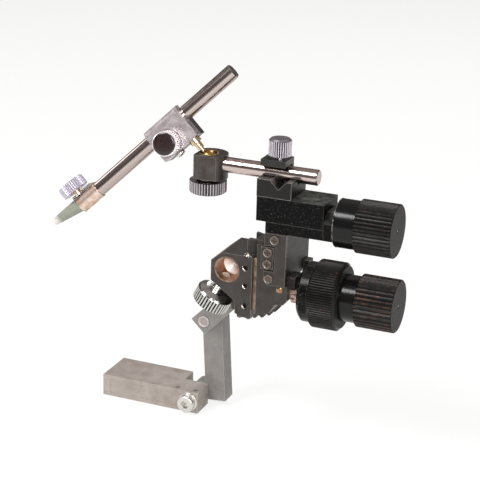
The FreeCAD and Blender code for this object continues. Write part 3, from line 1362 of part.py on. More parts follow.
def main():
    fill_sheets()
    base_bar()
    base_screws()
    swing_arm()
    elbow()
    tilt_disc()
    body_block()
    bore_bush()
    bore_clamp_screw()
    gib_and_screws()
    coarse_rack()
    tilt_bolt()
    toe_screws()
    carriage_block()
    carriage_fittings()
    coarse_drive()
    fine_drive()
    column()
    column_fittings()
    cross_slide_base()
    cross_drive()
    upper_slide()
    vee_block()
    thumbscrew()
    cross_rod()
    socket_head()
    ball_head()
    rod_clamp()
    tool_rod()
    tip_holder()
    doc.recompute()
    check_and_write()


main()
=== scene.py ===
import json
import logging
import math
from dataclasses import dataclass, field
from enum import Enum

import bmesh
import bpy
from mathutils import Matrix, Vector

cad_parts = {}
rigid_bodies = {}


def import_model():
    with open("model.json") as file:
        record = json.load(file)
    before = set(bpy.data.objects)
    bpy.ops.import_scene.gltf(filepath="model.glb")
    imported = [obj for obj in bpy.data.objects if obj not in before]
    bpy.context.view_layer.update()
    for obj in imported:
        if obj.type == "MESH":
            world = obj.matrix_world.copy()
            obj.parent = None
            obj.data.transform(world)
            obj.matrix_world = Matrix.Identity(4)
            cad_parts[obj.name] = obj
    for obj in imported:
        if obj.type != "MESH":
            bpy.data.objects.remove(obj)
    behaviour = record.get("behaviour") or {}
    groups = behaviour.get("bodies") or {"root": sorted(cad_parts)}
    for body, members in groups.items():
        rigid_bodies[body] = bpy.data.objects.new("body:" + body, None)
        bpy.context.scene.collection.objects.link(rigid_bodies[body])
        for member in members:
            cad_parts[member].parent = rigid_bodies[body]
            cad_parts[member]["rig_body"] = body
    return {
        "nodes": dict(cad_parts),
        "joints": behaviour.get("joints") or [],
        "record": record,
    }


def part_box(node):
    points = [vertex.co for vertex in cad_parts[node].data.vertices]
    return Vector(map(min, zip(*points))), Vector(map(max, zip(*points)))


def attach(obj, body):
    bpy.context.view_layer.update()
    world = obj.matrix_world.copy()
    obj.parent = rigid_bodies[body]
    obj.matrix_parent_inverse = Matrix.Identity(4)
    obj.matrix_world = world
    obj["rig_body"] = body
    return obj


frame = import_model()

LOG = logging.getLogger("micromanipulator")
MM = 0.001
WHOLE = (0.0, 1.0)
PAINT_BELOW = 0.2
BEVEL_SEGMENTS = 2
BEVEL_SAMPLES = 4
ROUND_PROFILE = 0.5
BEVEL_FROM_DEGREES = 40
SLAB_EDGE_MM = 0.15
MERGE_MM = 0.0001

Triple = tuple[float, float, float]
Span = tuple[float, float]
Profile = tuple[tuple[float, float], ...]
Source = tuple[bpy.types.Node, str | int]


class Axis(Enum):
    """The row frame's axes, as directions."""

    X = (1.0, 0.0, 0.0)
    Y = (0.0, 1.0, 0.0)
    Z = (0.0, 0.0, 1.0)

    @property
    def vector(self) -> Vector:
        """The axis as a vector."""
        return Vector(self.value)


class Edge(Enum):
    """How far a maker broke the edges of a piece, in millimetres."""

    CRISP = 0.12
    BROKEN = 0.25
    SOFT = 0.45


class Sides(Enum):
    """How many sides a turned piece has, by its size."""

    TINY = 48
    SMALL = 64
    MEDIUM = 96
    LARGE = 128


FRONT = -Axis.Y.vector


def linear(hex_text: str) -> tuple[float, float, float, float]:
    """Turn an sRGB hex colour into linear light.

    Args:
        hex_text: a colour such as "#8a7f76".

    Returns:
        Red, green, blue and a full alpha.
    """
    channels = [int(hex_text[i:i + 2], 16) / 255 for i in (1, 3, 5)]
    light = [c / 12.92 if c <= 0.04045 else ((c + 0.055) / 1.055) ** 2.4 for c in channels]
    return (light[0], light[1], light[2], 1.0)


def per_metre(size_mm: float) -> float:
    """How often a pattern of that size in millimetres repeats in a metre."""
    return 1.0 / (size_mm * MM)


def add(
    tree: bpy.types.NodeTree,
    kind: str,
    settings: dict[str, object] | None = None,
    inputs: dict[str | int, object] | None = None,
) -> bpy.types.Node:
    """Add one node with its settings and links.

    Args:
        tree: the node tree it goes in.
        kind: the node's type without its "ShaderNode" start.
        settings: attributes of the node.
        inputs: a socket's name or number to a plain value, or to (node, output) for a link.

    Returns:
        The node.
    """
    node = tree.nodes.new("ShaderNode" + kind)
    for name, setting in (settings or {}).items():
        setattr(node, name, setting)
    for socket, given in (inputs or {}).items():
        if isinstance(given, tuple) and isinstance(given[0], bpy.types.Node):
            tree.links.new(given[0].outputs[given[1]], node.inputs[socket])
        else:
            node.inputs[socket].default_value = given
    return node


@dataclass
class Board:
    """A material's node tree, with a short method for each step that the finishes' patterns repeat."""

    tree: bpy.types.NodeTree
    shader: bpy.types.Node
    spot: Source = field(init=False)
    normal: Source = field(init=False)

    def __post_init__(self) -> None:
        """Take the piece's own coordinates, in metres."""
        place = add(self.tree, "TexCoord")
        self.spot = (place, "Object")
        self.normal = (place, "Normal")

    def noise(
        self, size_mm: float, detail: float = 2.0, rough: float = 0.5, place: Source | None = None
    ) -> Source:
        """A cloudy noise.

        Args:
            size_mm: how large its clouds are.
            detail: how many finer layers it has.
            rough: how strong the finer layers are.
            place: its coordinates, the piece's own unless given.

        Returns:
            The noise, about 0 to 1.
        """
        made = add(self.tree, "TexNoise", {}, {"Vector": place or self.spot, "Scale": per_metre(size_mm),
                                               "Detail": detail, "Roughness": rough})
        return made, "Fac"

    def fade(self, source: Source, given: Span, wanted: Span = WHOLE) -> Source:
        """Map one range on another.

        Args:
            source: what is mapped.
            given: its value at the start and at the end, and it is held beyond both.
            wanted: the result at the start and at the end.

        Returns:
            The mapped value.
        """
        made = add(self.tree, "MapRange", {}, {"Value": source, "From Min": given[0], "From Max": given[1],
                                               "To Min": wanted[0], "To Max": wanted[1]})
        return made, "Result"

    def ramp(self, source: Source, stops: Span, colours: tuple[str, str] = ("#000000", "#ffffff")) -> Source:
        """A colour ramp.

        Args:
            source: where on the ramp a point lies.
            stops: the places of its two colours.
            colours: the colours at its stops.

        Returns:
            The colour, or a share where the ramp is black to white.
        """
        made = add(self.tree, "ValToRGB", {}, {"Fac": source})
        for element, stop, colour in zip(made.color_ramp.elements, stops, colours):
            element.color = linear(colour)
            element.position = stop
        return made, "Color"

    def blend(self, share: Source, first: Source | str, second: Source | str) -> Source:
        """Mix two colours.

        Args:
            share: how much of the second shows.
            first: a colour, linked or in hex.
            second: the other colour.

        Returns:
            The mixed colour.
        """
        pair = [linear(colour) if isinstance(colour, str) else colour for colour in (first, second)]
        return add(self.tree, "Mix", {"data_type": "RGBA"}, {0: share, 6: pair[0], 7: pair[1]}), 2

    def worked(self, operation: str, first: Source, second: Source | float = 0.0) -> Source:
        """One step of arithmetic, named as Blender's Math node names it."""
        return add(self.tree, "Math", {"operation": operation}, {0: first, 1: second}), "Value"

    def times(self, first: Source, second: Source | float) -> Source:
        """The product of two values."""
        return self.worked("MULTIPLY", first, second)

    def dot(self, first: Source, second: Source | Triple) -> Source:
        """How far one vector goes along another."""
        return add(self.tree, "VectorMath", {"operation": "DOT_PRODUCT"}, {0: first, 1: second}), "Value"

    def moved(self, centre: Triple) -> Source:
        """The piece's coordinates, counted from a centre."""
        return add(self.tree, "VectorMath", {"operation": "SUBTRACT"}, {0: self.spot, 1: centre}), "Vector"

    def part(self, source: Source, letter: str) -> Source:
        """One coordinate of a vector."""
        return add(self.tree, "SeparateXYZ", {}, {0: source}), letter

    def turned(self, start: Axis, axis: Triple, centre: Triple = (0.0, 0.0, 0.0)) -> Source:
        """The piece's coordinates, turned and moved on to an axis.

        Args:
            start: the coordinate that then runs along the axis.
            axis: the axis's direction.
            centre: its origin.

        Returns:
            The coordinates.
        """
        turn = start.vector.rotation_difference(Vector(axis)).to_euler()
        made = add(self.tree, "Mapping", {"vector_type": "TEXTURE"},
                   {"Vector": self.spot, "Location": centre, "Rotation": tuple(turn)})
        return made, "Vector"

    def drawn(self, place: Source, shares: Triple) -> Source:
        """Coordinates that are squeezed, so that a pattern is drawn out where its share is small."""
        return add(self.tree, "Mapping", {}, {"Vector": place, "Scale": shares}), "Vector"

    def off_axis(self, local: Source, letters: str) -> Source:
        """How far a point lies from an axis.

        Args:
            local: coordinates counted from the axis.
            letters: the two coordinates across the axis.

        Returns:
            The distance in metres.
        """
        parts = add(self.tree, "SeparateXYZ", {}, {0: local})
        flat = add(self.tree, "CombineXYZ", {}, {letter: (parts, letter) for letter in letters})
        return add(self.tree, "VectorMath", {"operation": "LENGTH"}, {0: (flat, "Vector")}), "Value"

    def corners(self, radius_mm: float, agreement: Span, share: float) -> Source:
        """A mask of the corners, where a rounded normal leaves the face's own normal.

        Args:
            radius_mm: how far from a corner the mask reaches.
            agreement: how well the normals agree where the mask starts and where it is full.
            share: the full mask's value.

        Returns:
            The mask.
        """
        rounded = add(self.tree, "Bevel", {"samples": BEVEL_SAMPLES}, {"Radius": radius_mm * MM})
        flat = add(self.tree, "NewGeometry")
        return self.fade(self.dot((rounded, "Normal"), (flat, "Normal")), agreement, (0.0, share))

    def varied(self, source: Source, middle: float, spread: Span) -> Source:
        """A value that a pattern varies by a spread about its middle."""
        return self.fade(source, WHOLE, (middle + spread[0], middle + spread[1]))

    def feed(self, source: Source, socket: str) -> None:
        """Link a source to one of the shader's inputs."""
        self.tree.links.new(source[0].outputs[source[1]], self.shader.inputs[socket])

    def relief(self, height: Source, strength: float, depth_mm: float) -> None:
        """Raise the surface by a pattern's height."""
        bump = add(self.tree, "Bump", {}, {"Height": height, "Strength": strength, "Distance": depth_mm * MM})
        self.feed((bump, "Normal"), "Normal")


@dataclass(frozen=True)
class Finish:
    """A surface finish. Each kind adds its own pattern to a plain shader."""

    name: str
    tone: str = "#808080"
    metallic: float = 1.0
    roughness: float = 0.4
    sheen: float = 0.5

    def material(self) -> bpy.types.Material:
        """The Blender material, made once and shared.

        Returns:
            The material.
        """
        made = bpy.data.materials.get(self.name)
        if made:
            return made
        made = bpy.data.materials.new(self.name)
        made.use_nodes = True
        shader = made.node_tree.nodes["Principled BSDF"]
        shader.inputs["Base Color"].default_value = linear(self.tone)
        shader.inputs["Metallic"].default_value = self.metallic
        shader.inputs["Roughness"].default_value = self.roughness
        if self.metallic < PAINT_BELOW:
            shader.inputs["Specular IOR Level"].default_value = self.sheen
        self.pattern(Board(made.node_tree, shader))
        return made

    def pattern(self, board: Board) -> None:
        """Link the finish's pattern to the shader."""


@dataclass(frozen=True)
class MilledSteel(Finish):
    """Milled steel with a grey bloom, blotched and finely scratched, as old unplated bar stock is."""

    blotch: str = "#6f6a66"
    blotch_mm: float = 9.0
    blotch_layers: Span = (6.0, 0.62)
    blotch_stops: Span = (0.35, 0.68)
    grain_mm: float = 0.35
    grain_run_mm: float = 14.0
    grain_layers: float = 3.0
    grain_depth_mm: float = 0.08
    gloss_spread: Span = (-0.08, 0.12)
    wear: str = "#e8e4de"
    wear_share: float = 0.5
    corner_mm: float = 0.35
    corner_agreement: Span = (0.995, 0.93)

    def pattern(self, board: Board) -> None:
        """Blotches of oxide, a drawn grain and bright worn edges.

        Args:
            board: the material's nodes.
        """
        cloud = board.noise(self.blotch_mm, *self.blotch_layers)
        tint = board.blend(board.ramp(cloud, self.blotch_stops), self.tone, self.blotch)
        run = board.drawn(board.spot, (1.0, self.grain_mm / self.grain_run_mm, 1.0))
        grain = board.noise(self.grain_mm, self.grain_layers, place=run)
        corner = board.corners(self.corner_mm, self.corner_agreement, self.wear_share)
        board.feed(board.blend(board.times(corner, cloud), tint, self.wear), "Base Color")
        board.feed(board.varied(grain, self.roughness, self.gloss_spread), "Roughness")
        board.relief(grain, 1.0, self.grain_depth_mm)


@dataclass(frozen=True)
class SpeckledPaint(Finish):
    """Black baked paint over cast metal, with pale specks where it has chipped and dust where it faces up."""

    metallic: float = 0.0
    sheen: float = 0.1
    speck: str = "#5a5a57"
    speck_mm: float = 0.9
    speck_stops: Span = (0.60, 0.70)
    wear: str = "#6f6c67"
    wear_share: float = 0.5
    corner_mm: float = 0.4
    corner_agreement: Span = (0.99, 0.92)
    dust: str = "#6d6f69"
    dust_mm: float = 4.0
    dust_layers: Span = (5.0, 0.7)
    dust_stops: Span = (0.35, 0.7)
    dust_share: float = 0.55
    level: Span = (0.6, 0.95)
    peel: Span = (0.6, 0.05)

    def pattern(self, board: Board) -> None:
        """Specks, a fine orange peel, dust that lies on top, and rubbed corners.

        Args:
            board: the material's nodes.
        """
        dots = board.noise(self.speck_mm)
        tint = board.blend(board.ramp(dots, self.speck_stops), self.tone, self.speck)
        corner = board.corners(self.corner_mm, self.corner_agreement, self.wear_share)
        above = board.fade(board.part(board.normal, "Z"), self.level)
        drift = board.noise(self.dust_mm, *self.dust_layers)
        lying = board.fade(drift, self.dust_stops, (0.0, self.dust_share))
        dusty = board.blend(board.times(above, lying), tint, self.dust)
        board.feed(board.blend(board.times(corner, dots), dusty, self.wear), "Base Color")
        board.relief(dots, *self.peel)


@dataclass(frozen=True)
class DrawnRod(Finish):
    """Ground bright steel rod with hairline scratches along it and a few rust pits."""

    roughness: float = 0.14
    along: Triple = Axis.X.value
    scratch_mm: float = 0.25
    scratch_run_mm: float = 18.0
    scratch_layers: float = 4.0
    scratch_relief: Span = (0.22, 0.02)
    gloss_spread: Span = (-0.05, 0.14)
    pit: str = "#5b4a42"
    pit_mm: float = 1.6
    pit_layers: Span = (4.0, 0.7)
    pit_start: float = 0.72
    pit_edge: float = 0.08

    def pattern(self, board: Board) -> None:
        """Lengthwise scratches and small pits.

        Args:
            board: the material's nodes.
        """
        lengthwise = board.turned(Axis.X, self.along)
        run = board.drawn(lengthwise, (self.scratch_mm / self.scratch_run_mm, 1.0, 1.0))
        hair = board.noise(self.scratch_mm, self.scratch_layers, place=run)
        dots = board.noise(self.pit_mm, *self.pit_layers)
        pits = board.ramp(dots, (self.pit_start, self.pit_start + self.pit_edge))
        board.feed(board.blend(pits, self.tone, self.pit), "Base Color")
        board.feed(board.varied(hair, self.roughness, self.gloss_spread), "Roughness")
        board.relief(hair, *self.scratch_relief)


@dataclass(frozen=True)
class PlatedKnurl(Finish):
    """Nickel plated steel with straight knurls. Painted shade darkens the grooves, which makes the lands read
    as bright lines.
    """

    roughness: float = 0.2
    centre: Triple = (0.0, 0.0, 0.0)
    axis: Triple = Axis.Z.value
    radius_mm: float = 6.0
    land_mm: float = 0.05
    depth_mm: float = 0.5
    sunk_share: float = 0.6
    within_shares: Span = (1.6, 1.2)
    sideways: Span = (0.8, 0.5)
    # the colour of the painted shade in the knurl's grooves
    groove_shade: str = "#2a2627"
    patch_mm: float = 1.6
    patch_layers: float = 3.0
    patch_stops: Span = (0.3, 0.6)
    patch_share: float = 0.7
    gloss_spread: Span = (-0.06, 0.14)

    def pattern(self, board: Board) -> None:
        """Painted shade in the grooves, by how far a point lies below the rim, and end faces left clean.

        Args:
            board: the material's nodes.
        """
        span = board.off_axis(board.turned(Axis.Z, self.axis, self.centre), "XY")
        floor = (self.radius_mm - self.depth_mm * self.sunk_share) * MM
        sunk = board.fade(span, ((self.radius_mm - self.land_mm) * MM, floor))
        inner, outer = ((self.radius_mm - self.depth_mm * share) * MM for share in self.within_shares)
        within = board.fade(span, (inner, outer))
        endwise = board.worked("ABSOLUTE", board.dot(board.normal, self.axis))
        # painted shade: darker in the grooves, patchy by a noise, and none on the end faces
        groove_shade_mask = board.times(board.times(sunk, within), board.fade(endwise, self.sideways))
        cloud = board.noise(self.patch_mm, self.patch_layers)
        patchy = board.fade(cloud, self.patch_stops, (self.patch_share, 1.0))
        board.feed(board.blend(board.times(groove_shade_mask, patchy), self.tone, self.groove_shade), "Base Color")
        board.feed(board.varied(cloud, self.roughness, self.gloss_spread), "Roughness")


@dataclass(frozen=True)
class CastBrass(Finish):
    """Turned brass or bronze, tarnished in patches."""

    roughness: float = 0.28
    tarnish: str = "#6a4a2c"
    tarnish_mm: float = 3.0
    tarnish_layers: float = 5.0
    tarnish_stops: Span = (0.42, 0.72)
    gloss_spread: Span = (-0.1, 0.2)

    def pattern(self, board: Board) -> None:
        """Tarnish in soft patches.

        Args:
            board: the material's nodes.
        """
        cloud = board.noise(self.tarnish_mm, self.tarnish_layers)
        board.feed(board.blend(board.ramp(cloud, self.tarnish_stops), self.tone, self.tarnish), "Base Color")
        board.feed(board.varied(cloud, self.roughness, self.gloss_spread), "Roughness")


@dataclass(frozen=True)
class ReamedBore(Finish):
    """The bore's liner: copper brown reamed bronze with rings, and a painted highlight on the drilled point,
    near white and barely metallic.
    """

    roughness: float = 0.3
    centre: Triple = (0.0, 0.0, 0.0)
    # floor colour and its low metallic: a painted highlight on the bore's floor
    floor: str = "#f2e8e2"
    floor_metallic: float = 0.1
    floor_from_mm: float = 10.2
    floor_edge_mm: float = 0.4
    mouth: str = "#94806f"
    mouth_stops: Span = (0.12, 0.5)
    dull: str = "#7c5439"
    dull_mm: float = 2.5
    dull_stops: Span = (0.4, 0.65)
    ring_mm: float = 0.8
    ring_relief: Span = (0.2, 0.01)

    def pattern(self, board: Board) -> None:
        """Rings left by the reamer, and a painted highlight on the floor past the straight wall.

        Args:
            board: the material's nodes.
        """
        depth = board.worked("SUBTRACT", board.part(board.spot, "Y"), self.centre[1])
        past = board.fade(depth, (self.floor_from_mm * MM, (self.floor_from_mm + self.floor_edge_mm) * MM))
        rings = board.worked("SINE", board.times(depth, 2 * math.pi / (self.ring_mm * MM)))
        inward = board.fade(depth, (0.0, self.floor_from_mm * MM))
        wall = board.ramp(inward, self.mouth_stops, (self.mouth, self.tone))
        patches = board.fade(board.noise(self.dull_mm), self.dull_stops)
        # painted highlight: past the wall the floor turns near white and nearly not metallic
        board.feed(board.fade(past, WHOLE, (self.metallic, self.floor_metallic)), "Metallic")
        board.feed(board.blend(past, board.blend(patches, wall, self.dull), self.floor), "Base Color")
        board.relief(rings, *self.ring_relief)


@dataclass(frozen=True)
class WornKnob(Finish):
    """Black lacquered grip. The lacquer has rubbed through to brown on the lands between the flutes."""

    metallic: float = 0.0
    sheen: float = 0.22
    roughness: float = 0.36
    gloss_spread: Span = (-0.08, 0.2)
    neck_roughness: float = 0.17
    centre: Triple = (0.0, 0.0, 0.0)
    radius_mm: float = 13.5
    land_below_mm: Span = (0.3, 0.05)
    grip_below_mm: Span = (1.2, 0.9)
    rub: str = "#7c6150"
    rub_mm: float = 5.0
    rub_layers: Span = (6.0, 0.7)
    rub_stops: Span = (0.44, 0.66)
    rub_share: float = 0.8
    fleck: str = "#8b3a30"
    fleck_mm: float = 1.1
    fleck_layers: float = 3.0
    fleck_stops: Span = (0.68, 0.74)
    fleck_relief: Span = (0.4, 0.06)
    face: str = "#63625c"
    face_grime: str = "#2b2a27"
    face_sheen: float = 0.04
    endwise: Span = (0.9, 0.98)

    def below(self, depths_mm: Span) -> Span:
        """Two radii in metres, given as depths below the grip's outside."""
        return ((self.radius_mm - depths_mm[0]) * MM, (self.radius_mm - depths_mm[1]) * MM)

    def pattern(self, board: Board) -> None:
        """Rubbed lands, a few red flecks, a glossy neck, and an end face gone grey green.

        Args:
            board: the material's nodes.
        """
        span = board.off_axis(board.moved(self.centre), "YZ")
        land = board.fade(span, self.below(self.land_below_mm))
        cloud = board.noise(self.rub_mm, *self.rub_layers)
        patches = board.fade(cloud, self.rub_stops, (0.0, self.rub_share))
        base = board.blend(board.times(land, patches), self.tone, self.rub)
        dots = board.noise(self.fleck_mm, self.fleck_layers)
        few = board.times(board.fade(dots, self.fleck_stops), land)
        dotted = board.blend(few, base, self.fleck)
        facing = add(board.tree, "NewGeometry")
        end = board.fade(board.part((facing, "Normal"), "X"), self.endwise)
        greyed = board.blend(cloud, self.face, self.face_grime)
        board.feed(board.blend(end, dotted, greyed), "Base Color")
        board.feed(board.fade(end, WHOLE, (self.sheen, self.face_sheen)), "Specular IOR Level")
        gloss = board.varied(dots, self.roughness, self.gloss_spread)
        handled = board.worked("MAXIMUM", board.fade(span, self.below(self.grip_below_mm)), end)
        shine = add(board.tree, "Mix", {}, {0: handled, 2: self.neck_roughness, 3: gloss})
        board.feed((shine, 0), "Roughness")
        board.relief(dots, *self.fleck_relief)


@dataclass(frozen=True)
class MouldedTip(Finish):
    """Grey green moulded plastic that pales towards the rubbed end."""

    metallic: float = 0.0
    roughness: float = 0.5
    root: Triple = (0.0, 0.0, 0.0)
    along: Triple = Axis.X.value
    length_mm: float = 16.0
    pale_shares: Span = (0.8, 1.02)
    end: str = "#bdbab4"
    mottle: str = "#7d7f74"
    mottle_mm: float = 2.2
    mottle_layers: float = 4.0
    mottle_relief: Span = (0.3, 0.08)

    def pattern(self, board: Board) -> None:
        """A paler end, and a mottle as worn plastic has.

        Args:
            board: the material's nodes.
        """
        run = board.dot(board.moved(self.root), self.along)
        start, stop = (self.length_mm * share * MM for share in self.pale_shares)
        cloud = board.noise(self.mottle_mm, self.mottle_layers)
        mottled = board.blend(cloud, self.tone, self.mottle)
        board.feed(board.blend(board.fade(run, (start, stop)), mottled, self.end), "Base Color")
        board.relief(cloud, *self.mottle_relief)


SCREW_STEEL = DrawnRod("plate_screw_steel", tone="#5f554f", roughness=0.3, along=Axis.Y.value)


def node(name: str) -> bpy.types.Object:
    """A CAD node's object."""
    return frame["nodes"][name]


def carrier(name: str) -> str:
    """The CAD body that a node rides on."""
    return node(name)["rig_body"]


def reach(name: str, origin: Vector, axis: Vector) -> float:
    """How far a CAD node goes from a spot along an axis.

    Args:
        name: the CAD node.
        origin: the spot, in the row frame.
        axis: the direction.

    Returns:
        The distance in metres.
    """
    piece = node(name)
    return max((piece.matrix_world @ corner.co - origin).dot(axis) for corner in piece.data.vertices)


def face_of(name: str, axis: Vector) -> Vector:
    """Where a CAD node's furthest face along an axis crosses the line through its middle.

    Args:
        name: the CAD node.
        axis: the direction.

    Returns:
        The spot, in the row frame.
    """
    low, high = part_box(name)
    centre = (Vector(low) + Vector(high)) / 2
    return centre + axis * reach(name, centre, axis)


def dress(names: list[str], finish: Finish, edge: Edge | None = None) -> None:
    """Give CAD nodes a finish, and break their edges.

    Args:
        names: the CAD nodes.
        finish: what they are finished in.
        edge: how far their edges are broken, or None where they stay as cut.
    """
    for name in names:
        piece = node(name)
        piece.data.materials.clear()
        piece.data.materials.append(finish.material())
        if edge:
            bevel = piece.modifiers.new("broken_edges", "BEVEL")
            bevel.width = edge.value * MM
            bevel.segments = BEVEL_SEGMENTS
            bevel.limit_method = "ANGLE"
            bevel.angle_limit = math.radians(BEVEL_FROM_DEGREES)
            bevel.harden_normals = False
        LOG.info("dressed %s in %s", name, finish.name)


def new_piece(name: str, mesh: bmesh.types.BMesh, finish: Finish, body: str, smooth: bool = True) -> None:
    """Put a modelled mesh in the scene as a piece that rides on a body.

    Args:
        name: the piece's name.
        mesh: its mesh, in the row frame.
        finish: its finish.
        body: the CAD body that it rides on.
        smooth: whether its faces are shaded smooth.
    """
    data = bpy.data.meshes.new(name)
    bmesh.ops.recalc_face_normals(mesh, faces=mesh.faces)
    mesh.to_mesh(data)
    mesh.free()
    for face in data.polygons:
        face.use_smooth = smooth
    data.materials.append(finish.material())
    piece = bpy.data.objects.new(name, data)
    bpy.context.scene.collection.objects.link(piece)
    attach(piece, body)
    LOG.info("made %s", name)


def turned(outline: Profile, centre: Vector, axis: Vector, sides: Sides = Sides.MEDIUM) -> bmesh.types.BMesh:
    """Turn a closed outline about an axis, as a lathe would.

    Args:
        outline: (radius, height) corners in millimetres.
        centre: the axis's origin in the row frame.
        axis: its direction.
        sides: how many sides the turned form has.

    Returns:
        The mesh, in the row frame.
    """
    made = bmesh.new()
    turn = Axis.Z.vector.rotation_difference(axis).to_matrix()
    steps = sides.value
    rings = []
    for radius, height in outline:
        ring = []
        for step in range(steps):
            angle = 2 * math.pi * step / steps
            local = Vector((radius * math.cos(angle), radius * math.sin(angle), height)) * MM
            ring.append(made.verts.new(centre + turn @ local))
        rings.append(ring)
    for below, above in zip(rings, rings[1:] + rings[:1]):
        for step in range(steps):
            after = (step + 1) % steps
            made.faces.new((below[step], below[after], above[after], above[step]))
    bmesh.ops.remove_doubles(made, verts=made.verts, dist=MERGE_MM * MM)
    return made


def slab(outline: Profile, span_mm: Span) -> bmesh.types.BMesh:
    """Push an outline in the YZ plane through along X.

    Args:
        outline: (y, z) corners in millimetres, in the row frame.
        span_mm: where it starts and ends.

    Returns:
        The mesh, with its edges broken.
    """
    made = bmesh.new()
    ends = [[made.verts.new(Vector((x, y, z)) * MM) for y, z in outline] for x in span_mm]
    made.faces.new(ends[0])
    made.faces.new(ends[1])
    for step in range(len(outline)):
        after = (step + 1) % len(outline)
        made.faces.new((ends[0][step], ends[0][after], ends[1][after], ends[1][step]))
    bmesh.ops.recalc_face_normals(made, faces=made.faces)
    bmesh.ops.bevel(made, geom=made.edges[:], offset=SLAB_EDGE_MM * MM, segments=BEVEL_SEGMENTS,
                    affect="EDGES", profile=ROUND_PROFILE)
    return made


@dataclass(frozen=True)
class GlintCrescent:
    """A painted highlight: a thin bright crescent on one side of a round hole or head, set on the side where
    a glint shows.
    """

    radius_mm: float
    width_mm: float
    height_mm: float
    lean: Triple
    half_turn: float = 1.4
    least_share: float = 0.02
    steps: int = 24

    def mesh(self, centre: Vector, axis: Vector) -> bmesh.types.BMesh:
        """Build it.

        Args:
            centre: the hole's middle, in the row frame.
            axis: the hole's direction.

        Returns:
            The mesh, in the row frame.
        """
        made = bmesh.new()
        lean = Vector(self.lean)
        ahead = (lean - axis * lean.dot(axis)).normalized()
        aside = axis.cross(ahead)
        rows = []
        for step in range(self.steps + 1):
            share = 2 * step / self.steps - 1
            out = ahead * math.cos(share * self.half_turn) + aside * math.sin(share * self.half_turn)
            inner = self.radius_mm - self.width_mm * max(math.cos(share * math.pi / 2), self.least_share)
            corners = [(self.radius_mm, 0.0), (self.radius_mm, self.height_mm), (inner, self.height_mm),
                       (inner, 0.0)]
            rows.append([made.verts.new(centre + (out * span + axis * rise) * MM) for span, rise in corners])
        for first, second in zip(rows, rows[1:]):
            for side, corner in enumerate(first):
                after = (side + 1) % len(first)
                made.faces.new((corner, first[after], second[after], second[side]))
        made.faces.new(rows[0])
        made.faces.new(rows[-1])
        return made


@dataclass
class Places:
    """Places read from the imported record, so that every piece follows the CAD."""

    joints: dict[str, dict] = field(default_factory=lambda: {j["name"]: j for j in frame["joints"]})
    mounts: dict[str, dict] = field(default_factory=lambda: {m["name"]: m for m in frame["record"]["mounts"]})

    @property
    def bore(self) -> Triple:
        """The mouth of the rod bore."""
        return tuple(Vector(self.mounts["rod_bore"]["pos_m"]))

    def pivot(self, joint: str) -> Vector:
        """Where a hinge's axis is."""
        return Vector(self.joints[joint]["pos_m"])

    def centre(self, joint: str) -> Triple:
        """Where a hinge's axis is, as a finish takes it."""
        return tuple(self.pivot(joint))

    def axis(self, joint: str) -> Vector:
        """A joint's direction."""
        return Vector(self.joints[joint]["axis"]).normalized()


@dataclass
class Assembly:
    """A sub-assembly, which knows where the joints are."""

    places: Places

    def build(self) -> None:
        """Dress the CAD nodes and add the pieces that only the looks have."""


@dataclass
class SupportArm(Assembly):
    """The base bar, swing arm and elbow bar, all of faded grey bar stock."""

    bar: Finish = MilledSteel("faded_base_steel", tone="#9e9690", blotch="#867d76", metallic=0.3,
                              roughness=0.5, wear="#f4f2ee")
    arm: Finish = MilledSteel("faded_arm_steel", tone="#807d7a", blotch="#6d6a67", metallic=0.3,
                              roughness=0.5, wear="#f4f2ee")
    bolt: Finish = DrawnRod("turned_bolt_steel", tone="#cfccc8", roughness=0.3, along=Axis.Y.value)
    pin: Finish = DrawnRod("dull_pin_steel", tone="#a79c99", roughness=0.4, along=Axis.Y.value)
    rim: Finish = DrawnRod("bright_pin_steel", tone="#c3bcb8", roughness=0.4, along=Axis.Y.value)
    washer_mm: Profile = ((2.6, -0.1), (5.3, -0.1), (5.6, 0.15), (5.6, 0.5), (5.2, 0.8), (2.6, 0.8))
    ring_mm: Profile = ((2.35, -0.1), (3.15, -0.1), (3.2, 0.02), (3.0, 0.16), (2.6, 0.14), (2.35, 0.0))

    def build(self) -> None:
        """Dress the arm's nodes, and add the washer and the pin's ring."""
        dress(["base_bar"], self.bar, Edge.SOFT)
        dress(["swing_arm", "elbow_bar"], self.arm, Edge.SOFT)
        dress(["arm_hinge_bolt", "base_grub_left", "base_grub_right"], self.bolt)
        dress(["elbow_pin"], self.pin)
        hinge = self.places.pivot("arm_swing")
        face = Vector((hinge.x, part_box("base_bar")[0][1], hinge.z))
        new_piece("hinge_washer", turned(self.washer_mm, face, FRONT), self.bolt, "base")
        ring = turned(self.ring_mm, face_of("elbow_pin", FRONT), FRONT)
        new_piece("elbow_pin_ring", ring, self.rim, carrier("elbow_pin"))


